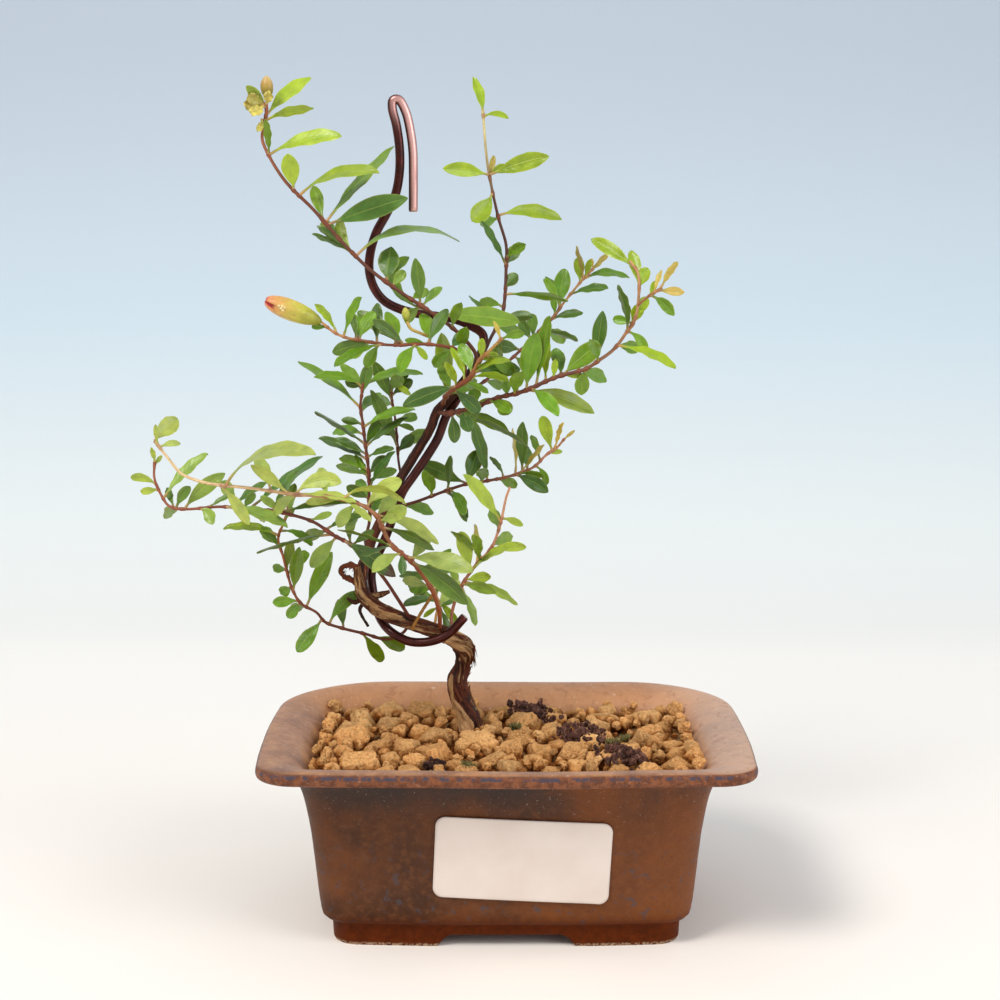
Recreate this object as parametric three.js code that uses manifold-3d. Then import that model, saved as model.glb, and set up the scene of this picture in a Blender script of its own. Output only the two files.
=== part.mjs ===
// A small pomegranate bonsai in its stoneware pot.
//
// Millimetres, +Z up. The viewer of the front face looks along +Y, with +X to the right. Everything is laid
// out round the middle of the pot's footprint, and the finished group is then moved so that the middle of
// the whole object's footprint is the origin.
//
// The pot, the trunk, the twigs and the leaves are lofts: rings of points joined by triangles. A spray is
// one twig with its leaves fused to it. A leaf that would touch another piece is turned until it is clear.

import * as THREE from 'three';
import { mergeVertices } from 'three/addons/utils/BufferGeometryUtils.js';
import Module from 'manifold-3d';

const wasm = await Module();
wasm.setup();

// ---------------------------------------------------------------- driving dimensions

const GAP = 0.3;                    // clearance between pieces that touch
const FACET = 0.05;                 // more clearance, for where the facets of two pieces run differently

const POT = {
  bow: 1.6,                         // how far the long walls belly out at the middle
  sideBow: 2.4,                     // and the short ones
  footHeight: 6.4,                  // from the ground to the ledge under the walls
  archHeight: 3.1,                  // clearance between the feet
  archSlope: 3.6,                   // how much narrower the arch is at its top, on each side
  archAcross: 36,                   // between the left and right feet, at the ground
  archAlong: 24,                    // between the front and back feet, at the ground
  drainRadius: 6,
  floor: 10.2,                      // top of the pot's floor
};

// Pot rings: height, half length, half depth, corner radius at the front and at the back.
const FOOT_RINGS = [
  [0, 43.4, 28.4, 5, 7],
  [POT.footHeight, 43.9, 28.9, 5, 7],
];
const OUTER_RINGS = [
  [5.7, 44.6, 29.4, 5, 8],
  [7.9, 46.6, 31.2, 6, 9],
  [25, 47.9, 32.4, 6, 10],
  [35, 49.2, 33.5, 6, 11],
  [41.5, 50.6, 34.7, 6, 12],
  [45.3, 53, 37, 7, 17],
  [46, 58.8, 42.8, 7, 24],
  [47.2, 60.6, 44.6, 7, 26],
  [49.2, 60.8, 44.8, 7, 26],
  [50, 59.7, 43.9, 7, 25],
];
const LIP_RINGS = [
  [49.7, 57, 41, 6, 21],
  [48.5, 52.6, 36.8, 5, 15],
];
const CAVITY_RINGS = [
  [47, 49.4, 33.8, 5, 11],
  [44, 48, 32.4, 5, 10],
  [32, 45.6, 30.4, 5, 9],
  [14, 43.4, 28.6, 5, 8],
  [POT.floor, 40.6, 25.8, 4, 7],
];

const SOIL = {
  top: 44,                          // the level that the grains are bedded in
  grains: 66,
  largest: 6.6,                     // radius of the biggest grain
  smallest: 3.2,
  spacing: 0.84,                    // the least distance between two grains, as a part of both radii
  reach: 0.8,                       // how much of its radius a grain keeps from the walls
  tries: 9000,
  sunk: 0.12,                       // how far a grain's middle lies under the top, as a part of its radius
  lift: 0.9,                        // and the most that it is drawn up from there
  roughness: 0.15,
  seed: 7717,
};

// Humus lumps: x, y, radius. raised: how far a lump's middle stands over the soil's top, least: its least
// half height, both as a part of its radius.
const LUMP = { raised: 0.45, least: 0.6, roughness: 0.24 };
const LUMPS = [
  [7, 22, 4.2],
  [20, -1, 4.8],
  [29, -20, 4.4],
  [-18, -26, 2.9],
];

const LABEL = { width: 44, height: 21.5, x: 4, z: 24.4, tilt: -2.8, corner: 2.5, thickness: 0.5 };

const DRAIN_MESH = { size: 24, thickness: 0.9, cells: 3, bar: 1.5 };

// Trunk: x, y, z and radius, from below the soil up to where the leader ends.
const TRUNK_PATH = [
  [-9, 9, 32, 2.2], [-9.6, 9, 42, 2.8], [-10.4, 9, 49, 2.8], [-12.4, 9, 55, 2.6], [-13, 9, 59.4, 2.4],
  [-11.6, 9, 63.4, 1.8], [-11.2, 7.4, 68.6, 2.4], [-15, 4.4, 72.2, 2.1], [-20, 2, 74.8, 1.8],
  [-25, 1, 77, 1.7], [-30, 1, 78.8, 1.7], [-34.6, 2, 81, 1.7], [-38, 4, 84.4, 1.7], [-38.8, 6.6, 88.6, 1.5],
  [-37.2, 8.8, 94.4, 1.35], [-35, 10, 100, 1.3], [-32, 10, 106, 1.3], [-29, 10, 113, 1.3],
  [-26, 10, 118, 1.3], [-23, 9, 123, 1.25], [-20, 8, 128, 1.25], [-18, 7, 133, 1.25], [-15, 7, 136, 1.2],
  [-11, 7, 141, 1.1], [-8, 7, 145, 1.0], [-6, 6, 148, 0.9],
];
const TRUNK_SIDES = 9;
const TRUNK_SMOOTH = 15;            // the row that the thick, twisted part of the trunk ends at
const TRUNK_RIDGE = 0.14;           // height of the bark's ridges, as a part of the radius
const TRUNK_TWIST = 0.42;           // turn of the ridges from one ring to the next, radians

// The dead stump with its curled flap of bark, the stub, the thorn, a bare stalk, the spur and the roots:
// x, y, z and radius.
const STUMP = [[-38.4, 4.4, 84.6, 1.5], [-39.2, 4.2, 88.4, 1.3], [-39.4, 4.2, 91.6, 0.9]];
const BARK_CURL = [
  [-39.2, 4.2, 91, 0.8], [-41.2, 4.2, 92, 0.7], [-43.2, 4.3, 91.6, 0.6], [-44, 4.4, 90.3, 0.6],
  [-43.2, 4.4, 89, 0.6], [-41.4, 4.4, 88.1, 0.8], [-39.2, 4.4, 86.9, 0.9],
];
const STUB = [[-36.4, 3.6, 83.4, 1.2], [-33.2, 4.6, 84, 0.8], [-31, 4.4, 84.8, 0.45]];
const THORN = [[-37, 3.2, 82.8, 0.7], [-38.8, 2.2, 80.4, 0.5], [-36.6, 2, 75.8, 0.35]];
const STALK = [[-24.6, 0.6, 77.2, 0.5], [-22.2, -1, 80.6, 0.45], [-18.7, -1.4, 86, 0.45]];
const SPUR = [[-37.6, 3.4, 83.4, 0.8], [-40.4, 3, 82.2, 0.6], [-42.2, 3, 83.3, 0.4]];
const ROOTS = [
  [[-10, 9, 39, 1.8], [-16, 13, 35, 1.5], [-25, 17, 30, 0.9]],
  [[-10, 9, 38, 1.8], [-5, 16, 33, 1.4], [3, 22, 27, 0.8]],
  [[-9, 9, 36, 1.7], [-6, 2, 31, 1.3], [2, -7, 25, 0.8]],
];

// The wire lies on the trunk: part of the way along the trunk, and the side of the trunk that it lies on,
// in degrees. 0 is towards the viewer, 90 is to the right of a rising trunk or above one that runs left,
// 180 is behind.
const WIRE_RADIUS = 1.2;
const WIRE_SIDES = 6;
const WIRE_TURNS = [
  [0.56, 122], [0.59, 96], [0.62, 72], [0.66, 50], [0.7, 44], [0.74, 58], [0.78, 80], [0.82, 98], [0.86, 118],
  [0.9, 142],
];
// From its cut end the wire passes in front of the shoulder, hangs clear under the trunk and climbs
// behind it.
const WIRE_START = [
  [-10.8, -1, 79.2], [-12.2, -1, 77.6], [-14.3, -0.6, 75.2], [-17.2, -0.8, 73.3], [-21.6, 0, 72],
  [-26, 0.6, 72.2], [-30.3, 1.6, 74.3], [-33.1, 4.6, 76.6], [-34.8, 7.2, 79.8], [-35.8, 9.2, 84.2],
  [-36.2, 10, 88.4],
];
const WIRE_HOOK = [
  [-8.2, 12.4, 144.4], [-6.2, 13, 149], [-6.2, 13.4, 152.6], [-9.7, 13.6, 155], [-13.6, 13, 156.6],
  [-17.8, 12, 157.4], [-23.5, 10.6, 158.2], [-28.4, 9.6, 159.6], [-32, 9, 161.6], [-34.6, 8.6, 165],
  [-35.8, 8.4, 169.6], [-35.4, 8.4, 174.4], [-33.8, 8.4, 179.4], [-31.2, 8.4, 184], [-28.8, 8.4, 189],
  [-27.7, 8.4, 194.6], [-27.6, 8.4, 200.6], [-28.4, 8.4, 206.8], [-29.4, 8.4, 211], [-29.2, 8.4, 213],
  [-27.8, 8.4, 213.2], [-26, 8.4, 210.2], [-24.9, 8.4, 205.8], [-24.2, 8.4, 200.4], [-24.1, 8.4, 194.2],
  [-24.2, 8.4, 184.6],
];

// ---------------------------------------------------------------- sprays
//
// path: the twig's line, x, y, z. radii: at its root and at its tip. leaves: one row each, with how far
// along the twig it grows in percent, the way it points in the front view in degrees up from +X, its length
// and its width as the front view shows them, its age (0 old and dark, 1 grown, 2 young and bright, 3 a bud
// leaf, 4 seen from below), and how far it arches in degrees. backLeaves: how many more leaves grow on the
// far side, and between which percentages of the twig.

const SPRAYS = [
  {
    name: 'spray_crown_left', radii: [0.75, 0.5], backLeaves: [4, 8, 57],
    path: [[-8, 7, 145], [-8, 4, 148], [-10, 2, 151], [-14, 0, 155], [-21, -1, 160], [-27, -2, 164],
      [-35, -3, 170], [-41, -4, 176], [-49, -4, 185], [-56, -3, 192], [-61, -1, 200], [-62, 0, 203],
      [-61.1, 0, 207.2], [-60.8, 0, 209.6], [-60.6, 0.1, 212.9]],
    leaves: [[95, 45, 15, 3.9, 2, 20], [94, 12, 13, 2.3, 2, 25], [97, 130, 7, 2.6, 2, 20],
      [84, 92, 8.5, 1.6, 1, 10], [84, 12, 19.5, 3.9, 2, 35], [72, 98, 9, 4.6, 2, 5],
      [70, 14, 21.5, 3.2, 2, 55], [61, 107, 9, 3, 1, 10], [60, 48, 26, 3.1, 1, 8],
      [59, 19, 21.5, 5.2, 0, 10], [49, 156, 12, 1.5, 0, 10], [49, 144, 11.5, 2.3, 4, 10],
      [48, 113, 10.5, 3.1, 2, -60], [48, 8, 28, 2.2, 1, 75], [37, 85, 9, 5.6, 4, 10],
      [24, 120, 17, 2.4, 1, -100], [35, 50, 5, 2.5, 1, 20], [26, 95, 12, 3.4, 0, 10],
      [29, 25, 5, 2.5, 1, 20], [25, 45, 7, 2.1, 1, 40], [21, -5, 22, 4.6, 1, 15]],
  },
  {
    name: 'spray_crown_middle', radii: [0.7, 0.45], backLeaves: [3, 5, 45],
    path: [[-6.6, 6.3, 147], [-5.6, 6.2, 148.6], [-4, 7, 152], [-1, 9, 158], [0, 10, 170], [0, 10, 176],
      [-2, 9, 183], [-4, 8, 192], [-5, 7, 198], [-6, 6, 210]],
    leaves: [[99, 105, 10.3, 2.6, 2, 15], [98, -5, 6.5, 1.6, 2, 70], [75, 173, 12, 3.8, 2, 20],
      [75, 17, 16, 4.6, 2, 15], [74, 80, 6, 1.6, 3, 5], [75, 35, 5, 2, 2, 20], [68, -127, 9, 5, 2, -20],
      [59, -3, 17, 3.8, 2, 45], [58, -160, 5, 2.5, 1, 20], [39, 120, 13, 1.7, 0, 10], [39, 55, 6, 3.6, 4, 20],
      [30, 45, 5, 3.4, 4, 20], [27, -5, 17, 1.9, 1, 30],
      [16, 10, 9, 3, 4, 30], [13, 130, 11, 1.2, 0, 10]],
  },
  {
    name: 'spray_crown_right', radii: [0.65, 0.42], backLeaves: [6, 15, 80],
    path: [[-13.6, 7, 137.4], [-10.6, 6, 138.4], [-7, 9, 139.6], [-2, 17, 143], [4, 21, 148], [9, 23, 153],
      [13, 24, 157], [16, 25, 161], [21, 26, 167], [24, 27, 170]],
    leaves: [[74, 80, 11, 4.2, 1, 10], [75, 120, 9, 2, 1, 20], [83, 10, 10, 2, 0, 25], [90, 95, 7, 3, 2, 10],
      [93, 105, 9, 1.2, 3, 5], [94, 75, 5, 1.8, 2, 5], [96, 45, 9, 1.6, 3, 10], [93, 0, 13, 2.1, 1, 45],
      [68, 10, 9, 2.1, 0, 20], [71, 100, 5, 1.7, 1, 10], [60, -15, 11, 1.8, 4, 30],
      [99, 95, 3, 1, 3, 5], [47, 170, 7, 3.4, 0, 20], [54, 120, 6, 3, 0, 10]],
  },
  {
    name: 'spray_right_arm', radii: [0.85, 0.45], backLeaves: [9, 6, 75],
    path: [[-18, 6.6, 132.4], [-15, 2.4, 132.6], [-13, 0, 133.2], [-7, -3, 135], [-3, -5, 137], [4, -8, 139],
      [13, -10, 143], [20, -11, 145], [23, -12, 147], [27, -12, 150], [30, -12, 154], [32, -12, 157],
      [33, -11, 161], [33, -10, 169], [31, -9, 172]],
    leaves: [[97, 145, 13, 3.6, 2, 15], [100, 100, 8, 1.2, 3, 5], [91, 100, 9, 3.1, 2, 20],
      [90, 65, 6, 3.2, 2, 15], [81, 55, 6, 3, 2, 15], [78, 60, 6, 3.2, 2, 15], [79, 170, 5, 2.2, 1, 15],
      [76, 105, 12, 2.1, 4, 25], [76, -50, 7, 2.3, 1, 60], [70, -20, 15, 2.3, 2, 35],
      [50, 40, 13, 4.7, 1, 10], [50, 0, 5, 2, 2, 15], [58, -100, 7, 3.5, 1, 20], [62, 85, 13, 3.4, 0, 8],
      [37, -20, 19, 4.2, 2, 25], [41, 80, 18, 3, 1, 8], [37, 80, 15, 5, 1, 10], [44, 85, 10, 2.1, 2, 10],
      [47, 85, 5, 1.8, 2, 10], [34, 90, 6, 2.1, 0, 10], [27, -60, 5, 3.8, 1, 15], [30, 95, 4, 2.2, 1, 10],
      [20, -130, 5, 3.6, 0, 30], [9, -25, 22, 1.7, 4, 25], [5, -20, 18, 3.1, 1, 45],
      [8, -85, 8, 3.4, 4, 20], [16, 15, 7, 1.8, 2, 30], [12, -65, 6, 3.4, 0, 20]],
  },
  {
    name: 'spray_right_tip', radii: [0.45, 0.4], backLeaves: [1, 50, 60],
    path: [[33, -11.4, 161], [35, -14, 163], [37, -16, 164.4], [38.4, -17, 165.4]],
    leaves: [[96, 55, 8, 1.7, 3, 8], [85, -5, 7, 2.3, 3, 12], [71, 70, 6, 1.2, 3, 5], [54, 65, 4, 1.7, 2, 5]],
  },
  {
    name: 'spray_front_shoot', radii: [0.9, 0.5], backLeaves: [5, 10, 90],
    path: [[-16.6, 7, 134.4], [-16.2, 2.4, 136], [-15.4, -2, 137.6], [-13, -7, 140], [-9, -11, 143],
      [-7, -13, 147], [-4, -15, 150], [-1, -16, 153]],
    leaves: [[24, 95, 16, 4.7, 2, 5], [46, 115, 7, 2.3, 2, 15], [55, 115, 9, 2.1, 2, 30],
      [57, 25, 12, 1.4, 2, 50], [60, -5, 10, 1.8, 2, 45], [53, -25, 7, 1.5, 1, 30], [76, 15, 5, 2.3, 2, 20],
      [79, 90, 5, 2.1, 2, 15], [98, 110, 5, 1.2, 3, 20], [99, 15, 6, 2.1, 1, 25],
      [47, -160, 15, 3.9, 0, 15], [39, -40, 9, 3.4, 0, 15], [66, 0, 12, 3.9, 0, 15]],
  },
  {
    name: 'spray_bud_twig', radii: [0.62, 0.42], backLeaves: [7, 15, 85],
    path: [[-11, 7, 141.6], [-10.6, 3, 145], [-11.4, -1.4, 148.4], [-14, -5, 150], [-20, -7, 151],
      [-23, -8, 151], [-30, -10, 151], [-35, -12, 152], [-40, -14, 153], [-43, -15, 154.4],
      [-46, -16, 157]],
    leaves: [[91, 130, 9, 2.1, 2, 45], [86, 65, 11, 2.1, 1, 30], [79, 60, 8, 3.1, 1, 15],
      [80, 100, 7, 1.6, 0, 10], [57, 145, 14, 3.6, 0, 15], [55, 140, 10, 2.6, 0, 15],
      [69, 90, 10, 2.9, 0, 10], [72, -165, 10, 3.4, 0, 15], [67, -155, 12, 2.1, 1, 25],
      [68, -120, 7, 2.8, 1, 10], [66, -20, 7, 2.5, 1, 20], [43, 170, 6, 1.7, 1, 10],
      [55, 135, 7, 1.2, 2, 10], [50, -50, 5, 1.8, 2, 15], [96, 180, 4, 1.4, 1, 10],
      [43, 60, 10, 3.1, 0, 20], [31, 45, 5, 2.8, 0, 10]],
  },
  {
    name: 'spray_inner_left', radii: [0.65, 0.45], backLeaves: [8, 15, 95],
    path: [[-37, 9, 95], [-38, 13, 97.4], [-37, 15, 102], [-37, 15, 107], [-37, 14, 116], [-38, 14, 125],
      [-38.4, 14, 129], [-39, 14, 133], [-38.4, 14, 138], [-38, 14, 142]],
    leaves: [[93, 10, 16, 2.3, 1, 45], [94, 170, 13, 2.1, 1, 45], [82, 145, 21, 1.7, 1, 20],
      [93, 165, 5, 2.5, 4, 10], [71, 20, 15, 1.9, 1, 40], [73, 170, 6, 2.3, 4, 20],
      [62, 145, 16, 1.5, 0, 12], [61, 35, 14, 1.7, 0, 15], [56, 155, 10, 2.3, 0, 25],
      [53, 160, 15, 2.3, 0, 25], [55, 20, 8, 1.7, 0, 25], [46, 40, 7, 3.5, 0, 15], [45, 160, 9, 2.1, 0, 20],
      [42, 120, 8, 1.6, 1, 10], [38, 55, 13, 1.8, 0, 20], [88, 75, 9, 3, 0, 8], [32, 150, 7, 3, 0, 10],
      [29, 30, 8, 2.6, 1, 20]],
  },
  {
    name: 'spray_inner_back', radii: [0.5, 0.4], backLeaves: [5, 25, 95],
    path: [[-28, 10, 115], [-29, 15, 119], [-29.4, 18, 123], [-30, 20, 129], [-31, 21, 135], [-31, 21, 140]],
    leaves: [[97, 25, 5, 1.8, 0, 20], [80, 115, 12, 3.5, 0, 5], [56, -15, 5, 1.5, 0, 60],
      [47, 160, 5, 2.3, 4, 15], [30, 45, 6, 3, 0, 10], [97, -30, 6, 1.8, 2, 20], [36, 115, 17, 3.1, 0, 8],
      [86, 45, 7, 3.4, 4, 10]],
  },
  {
    name: 'spray_left_arm', radii: [0.68, 0.42], backLeaves: [6, 25, 85],
    path: [[-25, 1, 77.6], [-28, -4, 84], [-32, -7, 91], [-36, -9, 96], [-40, -10, 100], [-44, -11, 102.4],
      [-49, -12, 106], [-55, -12, 108], [-60, -12, 109], [-66, -12, 109.6], [-73, -12, 110],
      [-82, -12, 109.4], [-86, -11, 110], [-88, -10, 112.4], [-90, -9, 117], [-90, -8, 121]],
    leaves: [[93, 170, 8, 2.3, 2, 50], [92, 190, 5, 2, 2, 10], [89, 45, 16, 2.6, 1, 25],
      [85, 120, 5, 1.8, 0, 10], [84, 55, 7, 2.5, 0, 30], [82, 40, 14, 3.6, 1, 20], [77, -50, 5, 3, 1, 60],
      [75, 30, 7, 1.2, 0, 5], [68, 35, 10, 1.8, 0, 20], [63, 35, 21, 2.1, 0, 8], [57, 55, 14, 2.1, 0, 8],
      [70, -15, 17, 2.1, 1, 30], [65, 50, 5, 2, 0, 20], [55, 5, 20, 2.6, 4, 12], [54, 140, 7, 2, 1, 10],
      [46, 20, 6, 1.7, 1, 10], [39, -165, 20, 1.5, 0, 12], [37, -130, 11, 3.6, 1, 15],
      [41, 20, 10, 1.8, 0, 20], [35, -30, 16, 4.5, 0, 12], [100, 95, 4, 1.4, 2, 10],
      [99, 55, 3, 1.2, 2, 10], [32, 35, 7, 2, 0, 20]],
  },
  {
    name: 'spray_left_pale', radii: [0.85, 0.45], backLeaves: [9, 8, 75],
    path: [[-17.6, 3.2, 74.2], [-17.4, -2.6, 78.6], [-17.4, -6, 81.4], [-19, -11, 88], [-23, -14, 95],
      [-27, -16, 99], [-29, -17, 101], [-31, -18, 105], [-32, -19, 108], [-35, -20, 111], [-38, -21, 112.4],
      [-43, -23, 114], [-52, -25, 115], [-63, -28, 117], [-71, -29, 118], [-75, -30, 119], [-79, -31, 121],
      [-82, -32, 125], [-85, -32, 129]],
    leaves: [[100, 45, 7, 4.5, 2, 15], [99, 90, 5, 1.3, 2, 5], [98, 10, 5, 1.5, 1, 60],
      [80, 21, 26, 2.4, 2, 70], [81, -60, 12, 3.1, 2, 15], [66, 135, 11, 3.1, 2, 15],
      [64, 10, 11, 4.2, 2, 75], [63, -10, 14, 1.5, 2, 30], [53, -5, 16, 2.3, 2, 100],
      [47, 35, 11, 4.2, 2, 40], [44, -30, 18, 2.6, 2, 30], [53, -175, 9, 2.3, 2, 15],
      [52, -35, 8, 1.5, 2, 15], [40, -20, 14, 2.9, 0, 30], [41, 35, 8, 3.6, 1, 20],
      [34, 155, 15, 1.8, 4, 15], [32, -85, 5, 2.1, 0, 15], [35, -165, 8, 1.3, 4, 20],
      [30, -5, 17, 3.6, 1, 30], [29, -35, 18, 4.5, 0, 20], [26, -5, 9, 3.6, 0, 20],
      [42, 15, 5, 2.5, 1, 20]],
  },
  {
    name: 'spray_left_drop', radii: [0.62, 0.4], backLeaves: [4, 30, 90],
    path: [[-25, 1, 77.2], [-26, 5, 75.6], [-28, 8, 72.6], [-32, 8, 71], [-38, 6, 73], [-44, 4, 75],
      [-48, 2, 77], [-50, 0, 80], [-54, -2, 83], [-56, -3, 87], [-57, -4, 91], [-58, -5, 96],
      [-59, -6, 101], [-57, -7, 106], [-56, -6, 111]],
    leaves: [[72, 175, 4, 2.3, 1, 5], [65, -145, 4, 2.9, 1, 10], [59, -175, 7, 2.8, 1, 10],
      [58, -130, 5, 2.8, 1, 10], [63, 80, 13, 3.4, 1, 5], [72, 80, 8, 2.8, 2, 5], [55, 65, 15, 3.8, 1, 8],
      [43, 45, 11, 3.1, 1, 35], [46, -130, 10, 3.6, 1, 10], [29, -62, 10.4, 3.2, 1, 10],
      [24, -30, 9, 3.4, 1, 20], [80, 130, 8, 1.8, 1, 25], [86, 175, 15, 1.9, 2, 40],
      [88, -25, 9, 1.7, 1, 60], [93, 50, 4, 1.6, 1, 10]],
  },
  {
    name: 'spray_right_pink', radii: [0.65, 0.45], backLeaves: [4, 20, 85],
    path: [[-14.2, 5, 73], [-14.6, 7.4, 77.6], [-12.6, 9, 84], [-9, 9, 90], [-4, 7, 96], [-2, 6, 101],
      [-1, 5, 105], [0, 4, 110], [1, 3, 113]],
    leaves: [[100, 85, 10, 3.4, 2, 5], [77, 125, 17, 3.4, 2, 20], [80, -20, 6, 2.1, 2, 30],
      [58, 5, 10, 2.8, 2, 30], [51, 140, 11, 1.9, 1, 40], [41, 35, 15, 1.3, 2, 30],
      [40, 105, 11, 4.2, 2, 10], [47, 95, 10, 1.5, 3, 5], [32, -25, 16, 1.9, 2, 40],
      [34, 10, 7, 3.1, 2, 20], [26, 110, 9, 1.9, 1, 15], [29, -70, 11, 1.9, 1, 20]],
  },
  {
    name: 'spray_shoulder', radii: [0.55, 0.4], backLeaves: [5, 25, 95],
    path: [[-19, 2.6, 75.4], [-18.6, 6.4, 78.4], [-18, 10, 80], [-19, 13, 82], [-20, 15, 84.4],
      [-22, 15, 88]],
    leaves: [[84, 175, 9, 1.8, 0, 40], [56, -50, 9, 2.3, 2, 15], [43, -70, 10, 1.8, 0, 10],
      [99, -140, 6, 2.1, 0, 20], [56, -175, 9, 2.1, 0, 30], [40, -145, 5, 1.4, 2, 20],
      [96, 45, 7, 3.1, 0, 15], [72, 5, 5, 3, 0, 15]],
  },
  {
    name: 'spray_right_low', radii: [0.65, 0.42], backLeaves: [6, 12, 80],
    path: [[-33, 10, 105], [-32, 14, 105.4], [-29, 16, 106], [-24, 16, 107.4], [-17, 16, 110],
      [-11, 16, 112], [-5, 16, 113], [0, 16, 114], [5, 17, 115.4], [8, 17, 117], [11, 17, 120],
      [14, 18, 122], [16, 18, 124.4]],
    leaves: [[57, 105, 16, 3.1, 0, 5], [65, 125, 7, 1.5, 4, 30], [74, 90, 14, 3.1, 0, 5],
      [71, 95, 12, 1.2, 3, 5], [73, 50, 10, 1.2, 3, 5], [84, 110, 7, 1.8, 1, 10], [91, 105, 10, 3.6, 2, 5],
      [93, 75, 8, 1.2, 3, 5], [89, 5, 4, 1.5, 2, 20], [81, -60, 6, 1.8, 1, 50], [72, -5, 7, 1.7, 1, 25],
      [70, -25, 10, 3.6, 0, 20], [99, 40, 4, 1, 3, 10], [47, 160, 14, 4.2, 0, 5], [47, 70, 9, 4.2, 0, 5],
      [37, -50, 9, 1.9, 0, 25], [38, -60, 10, 2.1, 4, 20], [38, 85, 10, 2.1, 0, 5]],
  },
];

const TWIG_SIDES = 3;
const LEAF = {
  above: 0.3,                       // the upper face over the midrib
  below: 0.5,                       // the keel under the midrib
  petiole: 0.45,                    // half width of the stalk
  longWidth: 0.24,                  // the least width of a leaf, as a part of its length
  longest: 29,
  shortBelow: 16.5,                 // leaves under this length have one ring fewer
  lean: 34,                         // the most that a drawn leaf leans to the viewer or away, degrees
  mostLean: 70,
};
// Leaf outline: part of the length, and part of the half width. A leaf is widest past its middle and blunt.
const LONG_LEAF = [[0.14, 0], [0.38, 0.82], [0.66, 1], [0.89, 0.76]];
const SHORT_LEAF = [[0.16, 0], [0.5, 0.95], [0.83, 0.86]];
// A leaf of the far side is drawn between each first number and that and the second together: its angle to
// the twig, how far it leans away, or to the viewer on a few, its length and its width.
const BACK_LEAF = {
  angle: [35, 60],
  away: [42, 22],
  near: [40, 20],
  awayShare: 0.8,
  chord: [6, 3.5],
  width: [2.4, 1],
};
const ROLLED_UP_SHARE = 0.85;       // leaves whose rolled upper face looks up
// Turns tried in order, until the leaf touches nothing: in the front view, and towards the viewer, degrees.
const TURNS = [
  [0, 0], [0, 18], [0, -18], [10, 0], [-10, 0], [0, 36], [0, -36], [12, 24], [-12, -24], [-12, 24], [12, -24],
  [22, 0], [-22, 0], [0, 56], [0, -56], [25, 40], [-25, -40], [-25, 40], [25, -40],
];
const SPRAY_SEED = 4101;

// Buds: base, tip, largest radius.
const FLOWER_BUD = { base: [-46.5, -16.1, 157.3], tip: [-59.6, -17.8, 162.4], radius: 3.2 };
const TIP_BUD = { base: [-60.5, 0.1, 213.2], tip: [-60.6, 0.2, 218.3], radius: 1.6 };
// Bud outline: part of the length, part of the largest radius. The open mouth of the calyx is the last ring.
const BUD_PROFILE = [[0.05, 0.3], [0.18, 0.72], [0.42, 1], [0.66, 0.86], [0.86, 0.62], [1, 0.66]];
const BUD_SIDES = 8;
const BUD_LOBES = { count: 5, height: 0.28 };
const BUD_MOUTH = 0.93;             // where the floor of the open mouth lies, as a part of the length

const COLOURS = {
  pot: [0x74452c, 0.62, 0],
  drain_mesh: [0x2f4a33, 0.6, 0],
  lump: [0x453026, 0.95, 0],
  soil: [0xc08a55, 0.95, 0],
  trunk: [0x4a3326, 0.85, 0],
  wire: [0x4b2226, 0.35, 0.8],
  spray: [0x6f9a35, 0.5, 0],
  flower_bud: [0xd9a545, 0.45, 0],
  tip_bud: [0xc9b14e, 0.5, 0],
  label: [0xf0e8e0, 0.7, 0],
};

// ---------------------------------------------------------------- small tools

function randomSource(seed) {
  let state = seed;
  return () => {
    state = (state * 16807) % 2147483647;
    return state / 2147483647;
  };
}

function vector([x, y, z]) {
  return new THREE.Vector3(x, y, z);
}

const radians = THREE.MathUtils.degToRad;

// A closed geometry from points and triangles, turned inside out if its volume comes out negative.
function closedGeometry(points, faces) {
  let volume = 0;
  for (const [a, b, c] of faces) {
    volume += points[a].dot(points[b].clone().cross(points[c]));
  }
  const index = faces.flatMap(([a, b, c]) => (volume > 0 ? [a, b, c] : [a, c, b]));
  const geometry = new THREE.BufferGeometry();
  const places = points.flatMap((p) => [p.x, p.y, p.z]);
  geometry.setAttribute('position', new THREE.Float32BufferAttribute(places, 3));
  geometry.setIndex(index);
  return geometry;
}

// Rings of equally many points, joined in order and closed by a fan at each end round the given end point, or
// round the end ring's own centre.
function loft(rings, startPoint = centreOf(rings[0]), endPoint = centreOf(rings[rings.length - 1])) {
  const count = rings[0].length;
  const points = [...rings.flat(), startPoint, endPoint];
  const start = points.length - 2;
  const end = points.length - 1;
  const last = (rings.length - 1) * count;
  const faces = [];
  for (let side = 0; side < count; side += 1) {
    const next = (side + 1) % count;
    faces.push([start, next, side], [end, last + side, last + next]);
    for (let ring = 0; ring < rings.length - 1; ring += 1) {
      const low = ring * count;
      const high = low + count;
      faces.push([low + side, low + next, high + next], [low + side, high + next, high + side]);
    }
  }
  return closedGeometry(points, faces);
}

function centreOf(ring) {
  const centre = new THREE.Vector3();
  for (const point of ring) {
    centre.add(point);
  }
  return centre.divideScalar(ring.length);
}

function toSolid(geometry) {
  const bare = geometry.clone();
  bare.deleteAttribute('normal');
  bare.deleteAttribute('uv');
  const merged = mergeVertices(bare, 1e-5);
  return new wasm.Manifold(new wasm.Mesh({
    numProp: 3,
    vertProperties: new Float32Array(merged.attributes.position.array),
    triVerts: new Uint32Array(merged.index.array),
  }));
}

function toGeometry(solid) {
  const mesh = solid.getMesh();
  const geometry = new THREE.BufferGeometry();
  geometry.setAttribute('position', new THREE.BufferAttribute(new Float32Array(mesh.vertProperties), 3));
  geometry.setIndex(Array.from(mesh.triVerts));
  return geometry;
}

// The biggest body of a solid, without the scraps that a cut leaves.
function mainBody(solid) {
  const bodies = solid.decompose();
  return bodies.reduce((best, body) => (body.volume() > best.volume() ? body : best));
}

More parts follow.
